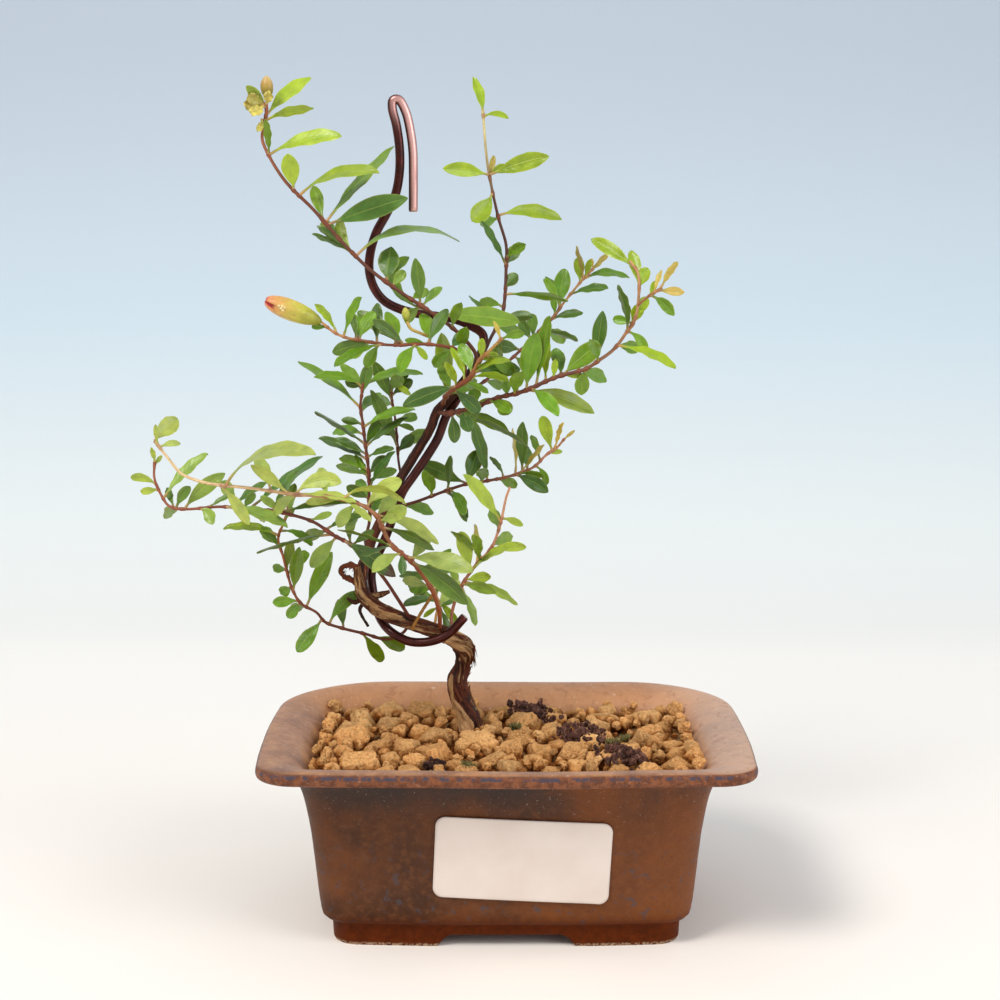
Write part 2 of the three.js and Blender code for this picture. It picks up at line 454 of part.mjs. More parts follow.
function joined(solids) {
  return solids.reduce((whole, solid) => whole.add(solid));
}

function boxSolid(size, centre) {
  const geometry = new THREE.BoxGeometry(...size);
  geometry.translate(...centre);
  return toSolid(geometry);
}

// A tube through rows of x, y, z and radius. extra makes it thicker and longer. shape gives a factor on the
// radius for a ring and an angle.
function tubeRings(rows, sides, extra = 0, shape = () => 1) {
  const centres = rows.map(vector);
  let normal = new THREE.Vector3(0, -1, 0);
  return centres.map((centre, ring) => {
    const before = centres[Math.max(ring - 1, 0)];
    const after = centres[Math.min(ring + 1, centres.length - 1)];
    const along = after.clone().sub(before).normalize();
    normal = normal.clone().addScaledVector(along, -normal.dot(along)).normalize();
    const across = along.clone().cross(normal);
    const stretch = (ring === centres.length - 1 ? extra : 0) - (ring === 0 ? extra : 0);
    const points = [];
    for (let side = 0; side < sides; side += 1) {
      const angle = (side / sides) * 2 * Math.PI;
      const radius = rows[ring][3] * shape(ring, angle) + extra;
      points.push(centre.clone()
        .addScaledVector(along, stretch)
        .addScaledVector(normal, radius * Math.cos(angle))
        .addScaledVector(across, radius * Math.sin(angle)));
    }
    return points;
  });
}

// Rows of numbers with one more row halfway between each two, on a smooth line, as far as the row lastSmooth.
function withMidpoints(rows, lastSmooth = rows.length - 1) {
  const line = new THREE.CatmullRomCurve3(rows.map(vector), false, 'centripetal');
  const steps = (rows.length - 1) * 2;
  const result = [];
  for (let step = 0; step <= lastSmooth * 2; step += 1) {
    const point = line.getPoint(step / steps);
    const low = rows[Math.floor(step / 2)];
    const high = rows[Math.ceil(step / 2)];
    result.push([point.x, point.y, point.z, (low[3] + high[3]) / 2]);
  }
  result.push(...rows.slice(lastSmooth + 1));
  return result;
}

// The place and the direction at a part of the way along a line of points.
function along(points, part) {
  const lengths = points.slice(1).map((point, i) => point.distanceTo(points[i]));
  let left = part * lengths.reduce((sum, length) => sum + length, 0);
  let i = 0;
  while (i < lengths.length - 1 && left > lengths[i]) {
    left -= lengths[i];
    i += 1;
  }
  const direction = points[i + 1].clone().sub(points[i]).normalize();
  return { point: points[i].clone().addScaledVector(direction, Math.min(left, lengths[i])), direction };
}

// ---------------------------------------------------------------- pot, soil, label

// One ring of the pot: a rectangle with round corners, whose walls belly out a little.
function potRing([z, halfLength, halfDepth, frontRadius, backRadius], inset = 0) {
  const corners = [
    [1, 1, backRadius, 0], [-1, 1, backRadius, 90], [-1, -1, frontRadius, 180], [1, -1, frontRadius, 270],
  ];
  const arcSteps = 3;
  const outline = [];
  for (const [sx, sy, radius, startAngle] of corners) {
    for (let step = 0; step <= arcSteps; step += 1) {
      const angle = radians(startAngle + (90 * step) / arcSteps);
      outline.push([
        sx * (halfLength - radius) + radius * Math.cos(angle),
        sy * (halfDepth - radius) + radius * Math.sin(angle),
      ]);
    }
  }
  const ring = [];
  outline.forEach(([x, y], i) => {
    ring.push([x, y]);
    const [nextX, nextY] = outline[(i + 1) % outline.length];
    const isWall = i % (arcSteps + 1) === arcSteps;
    const isLongWall = i % (2 * (arcSteps + 1)) === arcSteps;
    const wallParts = isLongWall ? 4 : 2;
    const parts = isWall ? wallParts : 1;
    for (let part = 1; part < parts; part += 1) {
      ring.push([x + ((nextX - x) * part) / parts, y + ((nextY - y) * part) / parts]);
    }
  });
  const scaleX = (halfLength - inset) / halfLength;
  const scaleY = (halfDepth - inset) / halfDepth;
  return ring.map(([x, y]) => {
    const outX = POT.sideBow * Math.max(0, 1 - (y / halfDepth) ** 2) * (x / halfLength);
    const outY = POT.bow * Math.max(0, 1 - (x / halfLength) ** 2) * (y / halfDepth);
    return new THREE.Vector3((x + outX) * scaleX, (y + outY) * scaleY, z);
  });
}

// A bar with sloping sides that cuts the arch between two feet.
function archCutter(width, length, alongX) {
  const half = width / 2;
  const shape = new THREE.Shape([
    new THREE.Vector2(-half - 1, -1),
    new THREE.Vector2(half + 1, -1),
    new THREE.Vector2(half, 0),
    new THREE.Vector2(half - POT.archSlope, POT.archHeight),
    new THREE.Vector2(-half + POT.archSlope, POT.archHeight),
    new THREE.Vector2(-half, 0),
  ]);
  const geometry = new THREE.ExtrudeGeometry(shape, { depth: length, bevelEnabled: false });
  geometry.translate(0, 0, -length / 2);
  geometry.rotateX(Math.PI / 2);
  if (alongX) {
    geometry.rotateZ(Math.PI / 2);
  }
  return toSolid(geometry);
}

function makePot() {
  const rings = [...OUTER_RINGS, ...LIP_RINGS, ...CAVITY_RINGS].map((row) => potRing(row));
  const walls = toSolid(loft(rings));
  const feet = toSolid(loft(FOOT_RINGS.map((row) => potRing(row))))
    .subtract(archCutter(POT.archAcross, 100, false))
    .subtract(archCutter(POT.archAlong, 120, true));
  const drain = new THREE.CylinderGeometry(POT.drainRadius, POT.drainRadius, 40, 16);
  drain.rotateX(Math.PI / 2);
  return walls.add(feet).subtract(toSolid(drain));
}

function makeDrainMesh() {
  const { size, thickness, cells, bar } = DRAIN_MESH;
  const z = POT.floor + GAP + thickness / 2;
  let mesh = boxSolid([size, size, thickness], [0, 0, z]);
  const pitch = (size - bar) / cells;
  for (let column = 0; column < cells; column += 1) {
    for (let row = 0; row < cells; row += 1) {
      const x = (column - (cells - 1) / 2) * pitch;
      const y = (row - (cells - 1) / 2) * pitch;
      mesh = mesh.subtract(boxSolid([pitch - bar, pitch - bar, thickness * 2], [x, y, z]));
    }
  }
  return mesh;
}

// A stone or a lump: an icosahedron whose corners are pulled in and out.
function rockGeometry(random, radius, centre, roughness) {
  const rock = mergeVertices(bareRock(), 1e-4);
  const position = rock.attributes.position;
  const stretch = new THREE.Vector3(1, 0.8 + 0.25 * random(), 0.7 + 0.2 * random());
  const turn = new THREE.Euler(random() * 0.8, random() * 0.8, random() * 2 * Math.PI);
  for (let i = 0; i < position.count; i += 1) {
    const corner = new THREE.Vector3().fromBufferAttribute(position, i).multiplyScalar(radius);
    corner.multiplyScalar(1 - roughness + 2 * roughness * random()).multiply(stretch).applyEuler(turn);
    position.setXYZ(i, corner.x + centre[0], corner.y + centre[1], corner.z + centre[2]);
  }
  return rock;
}

function bareRock() {
  const rock = new THREE.IcosahedronGeometry(1, 0);
  rock.deleteAttribute('normal');
  rock.deleteAttribute('uv');
  return rock;
}

function lumpRows() {
  return LUMPS.map(([x, y, radius]) => ({ centre: [x, y, SOIL.top + radius * LUMP.raised], radius }));
}

function lumpSolid(row, index, extra) {
  const random = randomSource(SOIL.seed + 31 * (index + 1));
  const geometry = rockGeometry(random, row.radius, [0, 0, 0], LUMP.roughness);
  const grow = 1 + extra / (row.radius * LUMP.least);
  geometry.scale(grow, grow, grow);
  geometry.translate(...row.centre);
  return toSolid(geometry);
}

// The grains are scattered over the bed, big ones first, each where it doesn't sit on another.
function grainRows() {
  const random = randomSource(SOIL.seed);
  const [, halfLength, halfDepth] = CAVITY_RINGS[1];
  const grains = [];
  let tries = 0;
  while (grains.length < SOIL.grains && tries < SOIL.tries) {
    tries += 1;
    const radius = SOIL.largest + (SOIL.smallest - SOIL.largest) * Math.sqrt(grains.length / SOIL.grains);
    const x = (random() * 2 - 1) * (halfLength - radius * SOIL.reach);
    const y = (random() * 2 - 1) * (halfDepth - radius * SOIL.reach);
    const isFree = grains.every((other) => (
      Math.hypot(x - other.x, y - other.y) > SOIL.spacing * (radius + other.radius)));
    if (isFree) {
      grains.push({ x, y, radius, lift: random() });
    }
  }
  return grains;
}

// The bed fills the pot's cavity. Everything above it is kept clear of the lip, of the lumps and of the
// trunk.
function makeSoil(lumps, trunkHole) {
  const inset = GAP + FACET;
  const lifted = CAVITY_RINGS.map(([z, ...row]) => [z === POT.floor ? z + GAP : z, ...row]);
  const bedRings = lifted.slice(1);
  let soil = toSolid(loft(bedRings.map((row) => potRing(row, inset))));
  const random = randomSource(SOIL.seed + 5);
  for (const grain of grainRows()) {
    const height = SOIL.top - grain.radius * SOIL.sunk + grain.lift * SOIL.lift;
    soil = soil.add(toSolid(rockGeometry(random, grain.radius, [grain.x, grain.y, height], SOIL.roughness)));
  }
  const room = [LIP_RINGS[0], LIP_RINGS[1], CAVITY_RINGS[0], ...bedRings];
  soil = soil.intersect(toSolid(loft(room.map((row) => potRing(row, inset)))));
  for (const lump of lumps) {
    soil = soil.subtract(lump);
  }
  const pocket = DRAIN_MESH.size + 2 * GAP;
  const pocketHeight = DRAIN_MESH.thickness + 2 * GAP;
  soil = soil.subtract(boxSolid([pocket, pocket, pocketHeight * 2], [0, 0, POT.floor + GAP]));
  return mainBody(soil.subtract(trunkHole));
}

// How far the front wall stands out at a place on it.
function frontWall(x, z) {
  const upper = OUTER_RINGS.findIndex((row) => row[0] > z);
  const [lowRow, highRow] = [OUTER_RINGS[upper - 1], OUTER_RINGS[upper]];
  const part = (z - lowRow[0]) / (highRow[0] - lowRow[0]);
  const halfLength = lowRow[1] + (highRow[1] - lowRow[1]) * part;
  const halfDepth = lowRow[2] + (highRow[2] - lowRow[2]) * part;
  return -(halfDepth + POT.bow * (1 - (x / halfLength) ** 2));
}

// The sticker follows the wall: a sheet of cells bent to it, trimmed to a rectangle with round corners.
function makeLabel() {
  const columns = 5;
  const rows = 2;
  const halfWidth = LABEL.width / 2 + 3;
  const halfHeight = LABEL.height / 2 + 3;
  const layers = [GAP + FACET, GAP + FACET + LABEL.thickness].map((offset) => {
    const layer = [];
    for (let row = 0; row <= rows; row += 1) {
      for (let column = 0; column <= columns; column += 1) {
        const x = LABEL.x - halfWidth + (2 * halfWidth * column) / columns;
        const z = LABEL.z - halfHeight + (2 * halfHeight * row) / rows;
        layer.push(new THREE.Vector3(x, frontWall(x, z) - offset, z));
      }
    }
    return layer;
  });
  const points = layers.flat();
  const layerSize = layers[0].length;
  const wide = columns + 1;
  const faces = [];
  for (let row = 0; row < rows; row += 1) {
    for (let column = 0; column < columns; column += 1) {
      const a = row * wide + column;
      const b = a + 1;
      const c = b + wide;
      const d = a + wide;
      faces.push([a, b, c], [a, c, d]);
      faces.push([layerSize + a, layerSize + c, layerSize + b]);
      faces.push([layerSize + a, layerSize + d, layerSize + c]);
    }
  }
  const edge = [];
  for (let column = 0; column < columns; column += 1) edge.push(column);
  for (let row = 0; row < rows; row += 1) edge.push(columns + row * wide);
  for (let column = columns; column > 0; column -= 1) edge.push(rows * wide + column);
  for (let row = rows; row > 0; row -= 1) edge.push(row * wide);
  edge.forEach((a, i) => {
    const b = edge[(i + 1) % edge.length];
    faces.push([a, layerSize + a, b], [b, layerSize + a, layerSize + b]);
  });
  const sheet = toSolid(closedGeometry(points, faces));
  return sheet.intersect(toSolid(labelOutline()));
}

function labelOutline() {
  const { width, height, corner } = LABEL;
  const shape = new THREE.Shape();
  shape.absarc(width / 2 - corner, height / 2 - corner, corner, 0, Math.PI / 2);
  shape.absarc(corner - width / 2, height / 2 - corner, corner, Math.PI / 2, Math.PI);
  shape.absarc(corner - width / 2, corner - height / 2, corner, Math.PI, Math.PI * 1.5);
  shape.absarc(width / 2 - corner, corner - height / 2, corner, Math.PI * 1.5, Math.PI * 2);
  const geometry = new THREE.ExtrudeGeometry(shape, { depth: 60, bevelEnabled: false, curveSegments: 2 });
  geometry.rotateZ(radians(LABEL.tilt));
  geometry.rotateX(Math.PI / 2);
  geometry.translate(LABEL.x, 0, LABEL.z);
  return geometry;
}

// ---------------------------------------------------------------- trunk and wire

// The trunk with its stub, curl, thorn, spur and roots, made thicker all over by extra.
function trunkSolid(extra) {
  const bark = (ring, angle) => 1 + TRUNK_RIDGE * Math.cos(3 * angle + TRUNK_TWIST * ring)
    + 0.5 * TRUNK_RIDGE * Math.cos(5 * angle - TRUNK_TWIST * ring);
  const stem = toSolid(loft(tubeRings(withMidpoints(TRUNK_PATH, TRUNK_SMOOTH), TRUNK_SIDES, extra, bark)));
  const arms = [STUMP, BARK_CURL, STUB, THORN, STALK, SPUR, ...ROOTS]
    .map((rows) => toSolid(loft(tubeRings(rows, 6, extra))));
  return joined([stem, ...arms]);
}

// The wire's line: its cut start, its turns on the trunk and the free hook.
function wireRows() {
  const rows = withMidpoints(TRUNK_PATH, TRUNK_SMOOTH);
  const centres = rows.map(vector);
  const onTrunk = WIRE_TURNS.map(([part, degrees]) => {
    const { point, direction } = along(centres, part);
    const nearest = rows[nearestIndex(centres, point)];
    const front = new THREE.Vector3(0, -1, 0).addScaledVector(direction, direction.y).normalize();
    const side = direction.clone().cross(front);
    const reach = nearest[3] * (1 + 1.5 * TRUNK_RIDGE) + WIRE_RADIUS + GAP;
    return point
      .addScaledVector(front, reach * Math.cos(radians(degrees)))
      .addScaledVector(side, reach * Math.sin(radians(degrees)));
  });
  const points = [...WIRE_START.map(vector), ...onTrunk, ...WIRE_HOOK.map(vector)];
  return points.map((point) => [point.x, point.y, point.z, WIRE_RADIUS]);
}

function nearestIndex(points, place) {
  let best = 0;
  points.forEach((point, i) => {
    if (point.distanceTo(place) < points[best].distanceTo(place)) best = i;
  });
  return best;
}

// ---------------------------------------------------------------- leaves

// Everything that a leaf's shape needs: where it grows, its arc, the side that its upper face looks to, its
// size.
function leafPlan(point, angle, lean, chord, seenWidth, age, arch, rollSign) {
  const a = radians(angle);
  const l = radians(lean);
  const forward = new THREE.Vector3(Math.cos(a) * Math.cos(l), -Math.sin(l), Math.sin(a) * Math.cos(l));
  const upward = new THREE.Vector3(-Math.sin(a), 0, Math.cos(a));
  const viewer = forward.clone().cross(upward);
  const length = Math.min(chord / Math.cos(l), chord * 1.5, LEAF.longest);
  const width = Math.max(seenWidth, LEAF.longWidth * length);
  const roll = Math.acos(Math.min(1, seenWidth / width)) * rollSign;
  const right = Math.cos(a) >= 0 ? 1 : -1;
  return {
    point, forward, upward, viewer, length, width, roll, right,
    arch: radians(arch) * right, under: age === 4,
  };
}

// A point on the leaf's midrib, and the directions along, across and out of its upper face there.
function leafFrame(plan, part) {
  const bend = plan.arch === 0 ? 1e-6 : plan.arch;
  const turn = bend * (0.5 - part);
  const arcLength = (plan.length * bend) / (2 * Math.sin(bend / 2));
  const ahead = (Math.sin(bend / 2) - Math.sin(turn)) / bend;
  const aside = (Math.cos(turn) - Math.cos(bend / 2)) / bend;
  const centre = plan.point.clone()
    .addScaledVector(plan.forward, arcLength * ahead)
    .addScaledVector(plan.upward, arcLength * aside);
  const heading = plan.forward.clone().multiplyScalar(Math.cos(turn))
    .addScaledVector(plan.upward, Math.sin(turn));
  const lifted = plan.upward.clone().multiplyScalar(Math.cos(turn))
    .addScaledVector(plan.forward, -Math.sin(turn));
  const face = plan.viewer.clone().multiplyScalar(Math.cos(plan.roll) * (plan.under ? -1 : 1))
    .addScaledVector(lifted, Math.sin(plan.roll) * plan.right);
  return { centre, face, across: face.clone().cross(heading), heading };
}

// The blade, thicker all over by extra, from a first ring on.
function leafGeometry(plan, extra = 0, firstRing = 0) {
  const outline = plan.length < LEAF.shortBelow ? SHORT_LEAF : LONG_LEAF;
  const rings = outline.slice(firstRing).map(([part, wide]) => {
    const { centre, face, across } = leafFrame(plan, part);
    const half = Math.max(LEAF.petiole, (plan.width / 2) * wide) + extra;
    const edge = centre.clone().addScaledVector(face, LEAF.above + extra);
    return [
      edge.clone().addScaledVector(across, half),
      edge.clone().addScaledVector(across, -half),
      centre.clone().addScaledVector(face, -LEAF.below - extra),
    ];
  });
  const tip = leafFrame(plan, 1);
  const start = firstRing === 0 ? plan.point : centreOf(rings[0]);
  return loft(rings, start, tip.centre.clone().addScaledVector(tip.heading, extra));
}

// The rows of a spray's leaves: the drawn ones, and then those of the far side.
function leafRows(spray, random) {
  const centres = spray.path.map(vector);
  const rows = spray.leaves.map(([percent, angle, chord, width, age, arch]) => {
    const { point } = along(centres, percent / 100);
    const lean = (random() * 2 - 1) * LEAF.lean;
    return { point, angle, lean, chord, width, age, arch, rollSign: random() < ROLLED_UP_SHARE ? 1 : -1 };
  });
  const [count, from, to] = spray.backLeaves;
  const draw = ([least, more]) => least + more * random();
  for (let i = 0; i < count; i += 1) {
    const percent = from + ((to - from) * (i + 0.2 + 0.6 * random())) / count;
    const { point, direction } = along(centres, percent / 100);
    const twigAngle = THREE.MathUtils.radToDeg(Math.atan2(direction.z, direction.x));
    const angle = twigAngle + (i % 2 ? 1 : -1) * draw(BACK_LEAF.angle);
    const lean = random() < BACK_LEAF.awayShare ? -draw(BACK_LEAF.away) : draw(BACK_LEAF.near);
    const chord = draw(BACK_LEAF.chord);
    rows.push({ point, angle, lean, chord, width: draw(BACK_LEAF.width), age: 1, arch: 25, rollSign: 1 });
  }
  return rows;
}

function boxOf(geometry) {
  geometry.computeBoundingBox();
  return geometry.boundingBox;
}

function isClear(solid, box, obstacles) {
  return obstacles.every((other) => !box.intersectsBox(other.box) || solid.intersect(other.solid).isEmpty());
}

// The first turn of a leaf that touches nothing, or nothing if every turn does.
function settledLeaf(row, ownName, obstacles) {
  for (const [turnAngle, turnLean] of TURNS) {
    const lean = THREE.MathUtils.clamp(row.lean + turnLean, -LEAF.mostLean, LEAF.mostLean);
    const plan = leafPlan(
      row.point, row.angle + turnAngle, lean, row.chord, row.width, row.age, row.arch, row.rollSign,
    );
    const whole = leafGeometry(plan, GAP);
    const blade = leafGeometry(plan, GAP, 1);
    const others = obstacles.filter((other) => other.name !== ownName);
    const siblings = obstacles.filter((other) => other.name === ownName);
    if (isClear(toSolid(whole), boxOf(whole), others) && isClear(toSolid(blade), boxOf(blade), siblings)) {
      return leafGeometry(plan);
    }
  }
  return null;
}

// ---------------------------------------------------------------- buds

function makeBud({ base, tip, radius }) {
  const from = vector(base);
  const to = vector(tip);
  const rows = BUD_PROFILE.map(([part, wide]) => [...from.clone().lerp(to, part).toArray(), wide * radius]);
  const { count, height } = BUD_LOBES;
  const lobes = (ring, angle) => (ring === rows.length - 1 ? 1 + height * Math.cos(count * angle) : 1);
  const mouth = from.clone().lerp(to, BUD_MOUTH);
  return toSolid(loft(tubeRings(rows, BUD_SIDES, 0, lobes), from, mouth));
}

// ---------------------------------------------------------------- assembly

const solids = new Map();
const addSolid = (name, solid) => solids.set(name, solid);

const trunk = trunkSolid(0);
const trunkRoom = trunkSolid(GAP);
addSolid('pot', makePot());
addSolid('drain_mesh', makeDrainMesh());
const lumps = lumpRows();
lumps.forEach((row, i) => addSolid(`soil_lump_${i + 1}`, lumpSolid(row, i, 0)));
addSolid('soil', makeSoil(lumps.map((row, i) => lumpSolid(row, i, GAP)), trunkRoom));
addSolid('trunk', trunk);
addSolid('wire', toSolid(loft(tubeRings(wireRows(), WIRE_SIDES))));
addSolid('flower_bud', makeBud(FLOWER_BUD));
addSolid('tip_bud', makeBud(TIP_BUD));
addSolid('label', makeLabel());

// Every twig is laid first, cut to what it grows from. Then each leaf finds its place among all of them.
const twigs = SPRAYS.map((spray) => {
  const last = spray.path.length - 1;
  const rows = spray.path.map((place, i) => {
    const part = i / last;
    return [...place, spray.radii[0] + (spray.radii[1] - spray.radii[0]) * part];
  });
  const room = toSolid(loft(tubeRings(rows, TWIG_SIDES, GAP)));
  return { spray, twig: mainBody(toSolid(loft(tubeRings(rows, TWIG_SIDES))).subtract(trunkRoom)), room };
});
const rightArm = twigs.find(({ spray }) => spray.name === 'spray_right_arm');
const rightTip = twigs.find(({ spray }) => spray.name === 'spray_right_tip');
rightTip.twig = mainBody(rightTip.twig.subtract(rightArm.room));

const obstacles = [...solids].map(([name, solid]) => ({ name, solid, box: boxOf(toGeometry(solid)) }));
for (const { spray, twig } of twigs) {
  obstacles.push({ name: `${spray.name}_twig`, solid: twig, box: boxOf(toGeometry(twig)) });
}
twigs.forEach(({ spray, twig }, index) => {
  const random = randomSource(SPRAY_SEED + 17 * index);
  const around = obstacles.filter((other) => other.name !== `${spray.name}_twig`);
  const parts = [twig];
  for (const row of leafRows(spray, random)) {
    const geometry = settledLeaf(row, spray.name, around);
    if (geometry) {
      const leaf = { name: spray.name, solid: toSolid(geometry), box: boxOf(geometry) };
      obstacles.push(leaf);
      around.push(leaf);
      parts.push(leaf.solid);
    }
  }
  addSolid(spray.name, mainBody(joined(parts)));
});

function materialFor(name) {
  const key = Object.keys(COLOURS).find((start) => name.startsWith(start) || name.includes(start));
  const [color, roughness, metalness] = COLOURS[key];
  return new THREE.MeshStandardMaterial({ color, roughness, metalness });
}

const plant = new THREE.Group();
for (const [name, solid] of solids) {
  const mesh = new THREE.Mesh(toGeometry(solid), materialFor(name));
  mesh.name = name;
  plant.add(mesh);
}
const bounds = new THREE.Box3().setFromObject(plant);
const middle = bounds.getCenter(new THREE.Vector3());
plant.position.set(-middle.x, -middle.y, -bounds.min.z);

const bonsai = new THREE.Group();
bonsai.add(plant);
export default bonsai;
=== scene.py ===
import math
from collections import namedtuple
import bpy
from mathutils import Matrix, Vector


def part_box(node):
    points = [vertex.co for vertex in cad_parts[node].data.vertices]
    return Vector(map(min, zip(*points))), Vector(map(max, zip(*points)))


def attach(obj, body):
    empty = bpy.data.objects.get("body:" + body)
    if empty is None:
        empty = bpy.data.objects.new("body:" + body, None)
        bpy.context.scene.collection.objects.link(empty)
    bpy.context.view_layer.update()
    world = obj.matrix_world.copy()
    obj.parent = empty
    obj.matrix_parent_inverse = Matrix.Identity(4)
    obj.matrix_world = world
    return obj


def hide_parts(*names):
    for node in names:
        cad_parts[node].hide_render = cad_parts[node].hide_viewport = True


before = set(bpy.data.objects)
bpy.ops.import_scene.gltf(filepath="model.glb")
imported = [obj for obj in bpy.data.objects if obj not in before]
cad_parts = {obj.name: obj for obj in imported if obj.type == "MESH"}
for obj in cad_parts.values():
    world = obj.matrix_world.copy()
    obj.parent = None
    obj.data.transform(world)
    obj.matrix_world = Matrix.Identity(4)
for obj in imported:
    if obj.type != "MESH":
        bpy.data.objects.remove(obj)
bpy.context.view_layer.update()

# The dressed pomegranate bonsai. Lengths are millimetres round the middle of the pot's footprint, with the
# viewer looking along +Y, as in the part's source. make_piece() moves them into the frame, in metres.

from types import SimpleNamespace

import bmesh
import bpy
from mathutils import Euler, Vector, noise
from mathutils.kdtree import KDTree

MM = 0.001
# Edges that bend more than this many degrees look sharp.
STONE_SHARP = 28
LEAF_SHARP = 80
POT_LOW, POT_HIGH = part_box("pot")
SHIFT = Vector(((POT_LOW.x + POT_HIGH.x) / 2, (POT_LOW.y + POT_HIGH.y) / 2, POT_LOW.z)) / MM
VIEWER = Vector((0, -1, 0))
UP = Vector((0, 0, 1))
WHITE = (1, 1, 1)
NO_MARK = (0, 0, 0)


def srgb(red, green, blue):
    """An sRGB colour of 0 to 255 as Blender's linear colour."""
    linear = []
    for value in (red, green, blue):
        part = value / 255
        linear.append(part / 12.92 if part <= 0.04045 else ((part + 0.055) / 1.055) ** 2.4)
    return tuple(linear)


# ---- dimensions ------------------------------

POT_HEIGHT = 50
# How far the long and the short walls belly out.
POT_BOW = 1.6
POT_SIDE_BOW = 2.4
# The arches between the feet.
ARCH_HEIGHT = 3.1
ARCH_ACROSS = 36
ARCH_ALONG = 24
ARCH_SLOPE = 3.6
DRAIN_RADIUS = 6
POT_FLOOR = 10.2

# Pot rings: height, half length, half depth, corner radius at the front and at the back.
FOOT_ROWS = [(0, 43.2, 28.2, 5, 7), (0.7, 43.5, 28.5, 5, 7), (3.2, 43.6, 28.6, 5, 7), (6, 43.9, 28.9, 5, 7)]
WALL_ROWS = [
    (6.4, 45.2, 30, 5, 8), (7.9, 46.6, 31.2, 6, 9), (25, 47.9, 32.4, 6, 10), (35, 49.2, 33.5, 6, 11),
    (41.5, 50.6, 34.7, 6, 12), (44.6, 52.4, 36.4, 7, 15), (45.6, 54.6, 38.6, 7, 18), (46, 58.8, 42.8, 7, 24),
    (46.6, 60.4, 44.4, 7, 25), (48, 60.9, 44.9, 7, 26), (49.5, 60.7, 44.7, 7, 26), (50, 59.6, 43.8, 7, 25),
    (49.8, 57, 41, 6, 21), (49.2, 54.6, 38.7, 6, 18), (48.5, 52.6, 36.8, 5, 15), (47, 50.2, 34.5, 5, 11),
    (44, 48, 32.4, 5, 10), (32, 45.6, 30.4, 5, 9), (14, 43.4, 28.6, 5, 8), (11, 41.5, 26.6, 5, 7),
    (POT_FLOOR, 39, 24.4, 4, 7),
]
# The room inside the walls, and the front wall's outside round the label: height, half length, half depth.
ROOM_ROWS = [
    (14, 43.4, 28.6), (32, 45.6, 30.4), (44, 48, 32.4), (47, 49.4, 33.8), (48.5, 52.6, 36.8), (50, 57, 41),
]
FRONT_ROWS = [(7.9, 46.6, 31.2), (25, 47.9, 32.4), (35, 49.2, 33.5), (41.5, 50.6, 34.7)]

LABEL = SimpleNamespace(width=44, height=21.5, x=4, z=24.4, tilt=-2.8, corner=2.5, back=0.36, front=0.84,
                        edge_back=0.46, edge_front=0.72)

SOIL_TOP = 44
SOIL_SEED = 7717
# The big grains, drawn as in the part's source: how many, the half size of their area, the tries, the draws
# that the source makes for each grain's own shape, and how much larger they are here.
GRAINS = 66
GRAIN_AREA = (48, 32.4)
GRAIN_TRIES = 9000
GRAIN_DRAWS = 12
GRAIN_LARGEST = 6.6
GRAIN_SMALLEST = 3.2
GRAIN_FILL = 1.18
# Grains this large, up to this far back, get the finest mesh.
FINE_GRAIN = 4.3
FINE_BACK = 16
# The loose stones between them, along each end wall and all over the bed: how many, the half size of their
# area, and the least and the spread of their radius and of their height.
BETWEEN = SimpleNamespace(count=150, area=(49, 34), radius=(1.1, 1.9), height=(SOIL_TOP + 0.4, 2.4))
BETWEEN_TRIES = 6000
AT_ENDS = SimpleNamespace(count=10, area=(49.4, 29), radius=(1.7, 1.6), height=(SOIL_TOP + 1.4, 1.6))
ON_BED = SimpleNamespace(count=420, area=(48, 33), radius=(0.6, 0.8), height=(SOIL_TOP - 0.3, 0.6))
# Where the trunk stands and no loose stone lies: x, y and radius.
TRUNK_FOOT = (-10.5, 9, 3.4)
# Painted shade: how near a stone's neighbours darken its colour, down to this part of its brightness.
CREVICE = 1.5
CREVICE_LIGHT = 0.34
# Humus lumps: x, y, radius, and what they are like: how many crumbs, how far those spread, and how bright.
LOOSE_LUMP = (60, 1.15, 1.0)
DENSE_LUMP = (14, 0.5, 0.45)
LUMPS = [
    (7, 22, 4.2, LOOSE_LUMP), (20, -1, 4.8, LOOSE_LUMP), (29, -20, 4.4, LOOSE_LUMP),
    (-18, -26, 2.9, DENSE_LUMP),
]
# The half axes of a lump and of a crumb against their radius, and the least height at which a crumb lies.
LUMP_STRETCH = (1, 0.95, 0.85)
CRUMB_STRETCH = (1, 0.8, 0.6)
CRUMB_FLOOR = SOIL_TOP + 2.5
# Where loose crumbs lie scattered between the lumps, and the lump that they belong to.
HUMUS_TRAIL = [(2, 27), (7, 22), (13, 12), (20, -1), (25, -10), (28, -18), (31, -25), (34, -30)]
TRAIL_LUMP = 1
TRAIL_CRUMBS = 90
TRAIL_WIDTH = 7
# Moss tufts: x, y, z and radius.
MOSS = [(-9.6, -28.6, 47.4, 1.7), (2.4, 2.4, 48.8, 1.2), (27.4, -13.4, 49.2, 1.5), (31, -10, 49, 1.1)]
MOSS_SEED = 900
MOSS_CORE_TINT = srgb(56, 60, 28)
MOSS_DARK = srgb(72, 63, 26)
MOSS_LIGHT = srgb(130, 116, 54)
# Its blades: how many to a tuft, least length and spread, half width, and how wide at parts of the length.
MOSS_BLADE = SimpleNamespace(count=70, length=(1.1, 1.0), half=0.17, widths=((0, 0.8), (0.5, 1), (0.92, 0.3)))

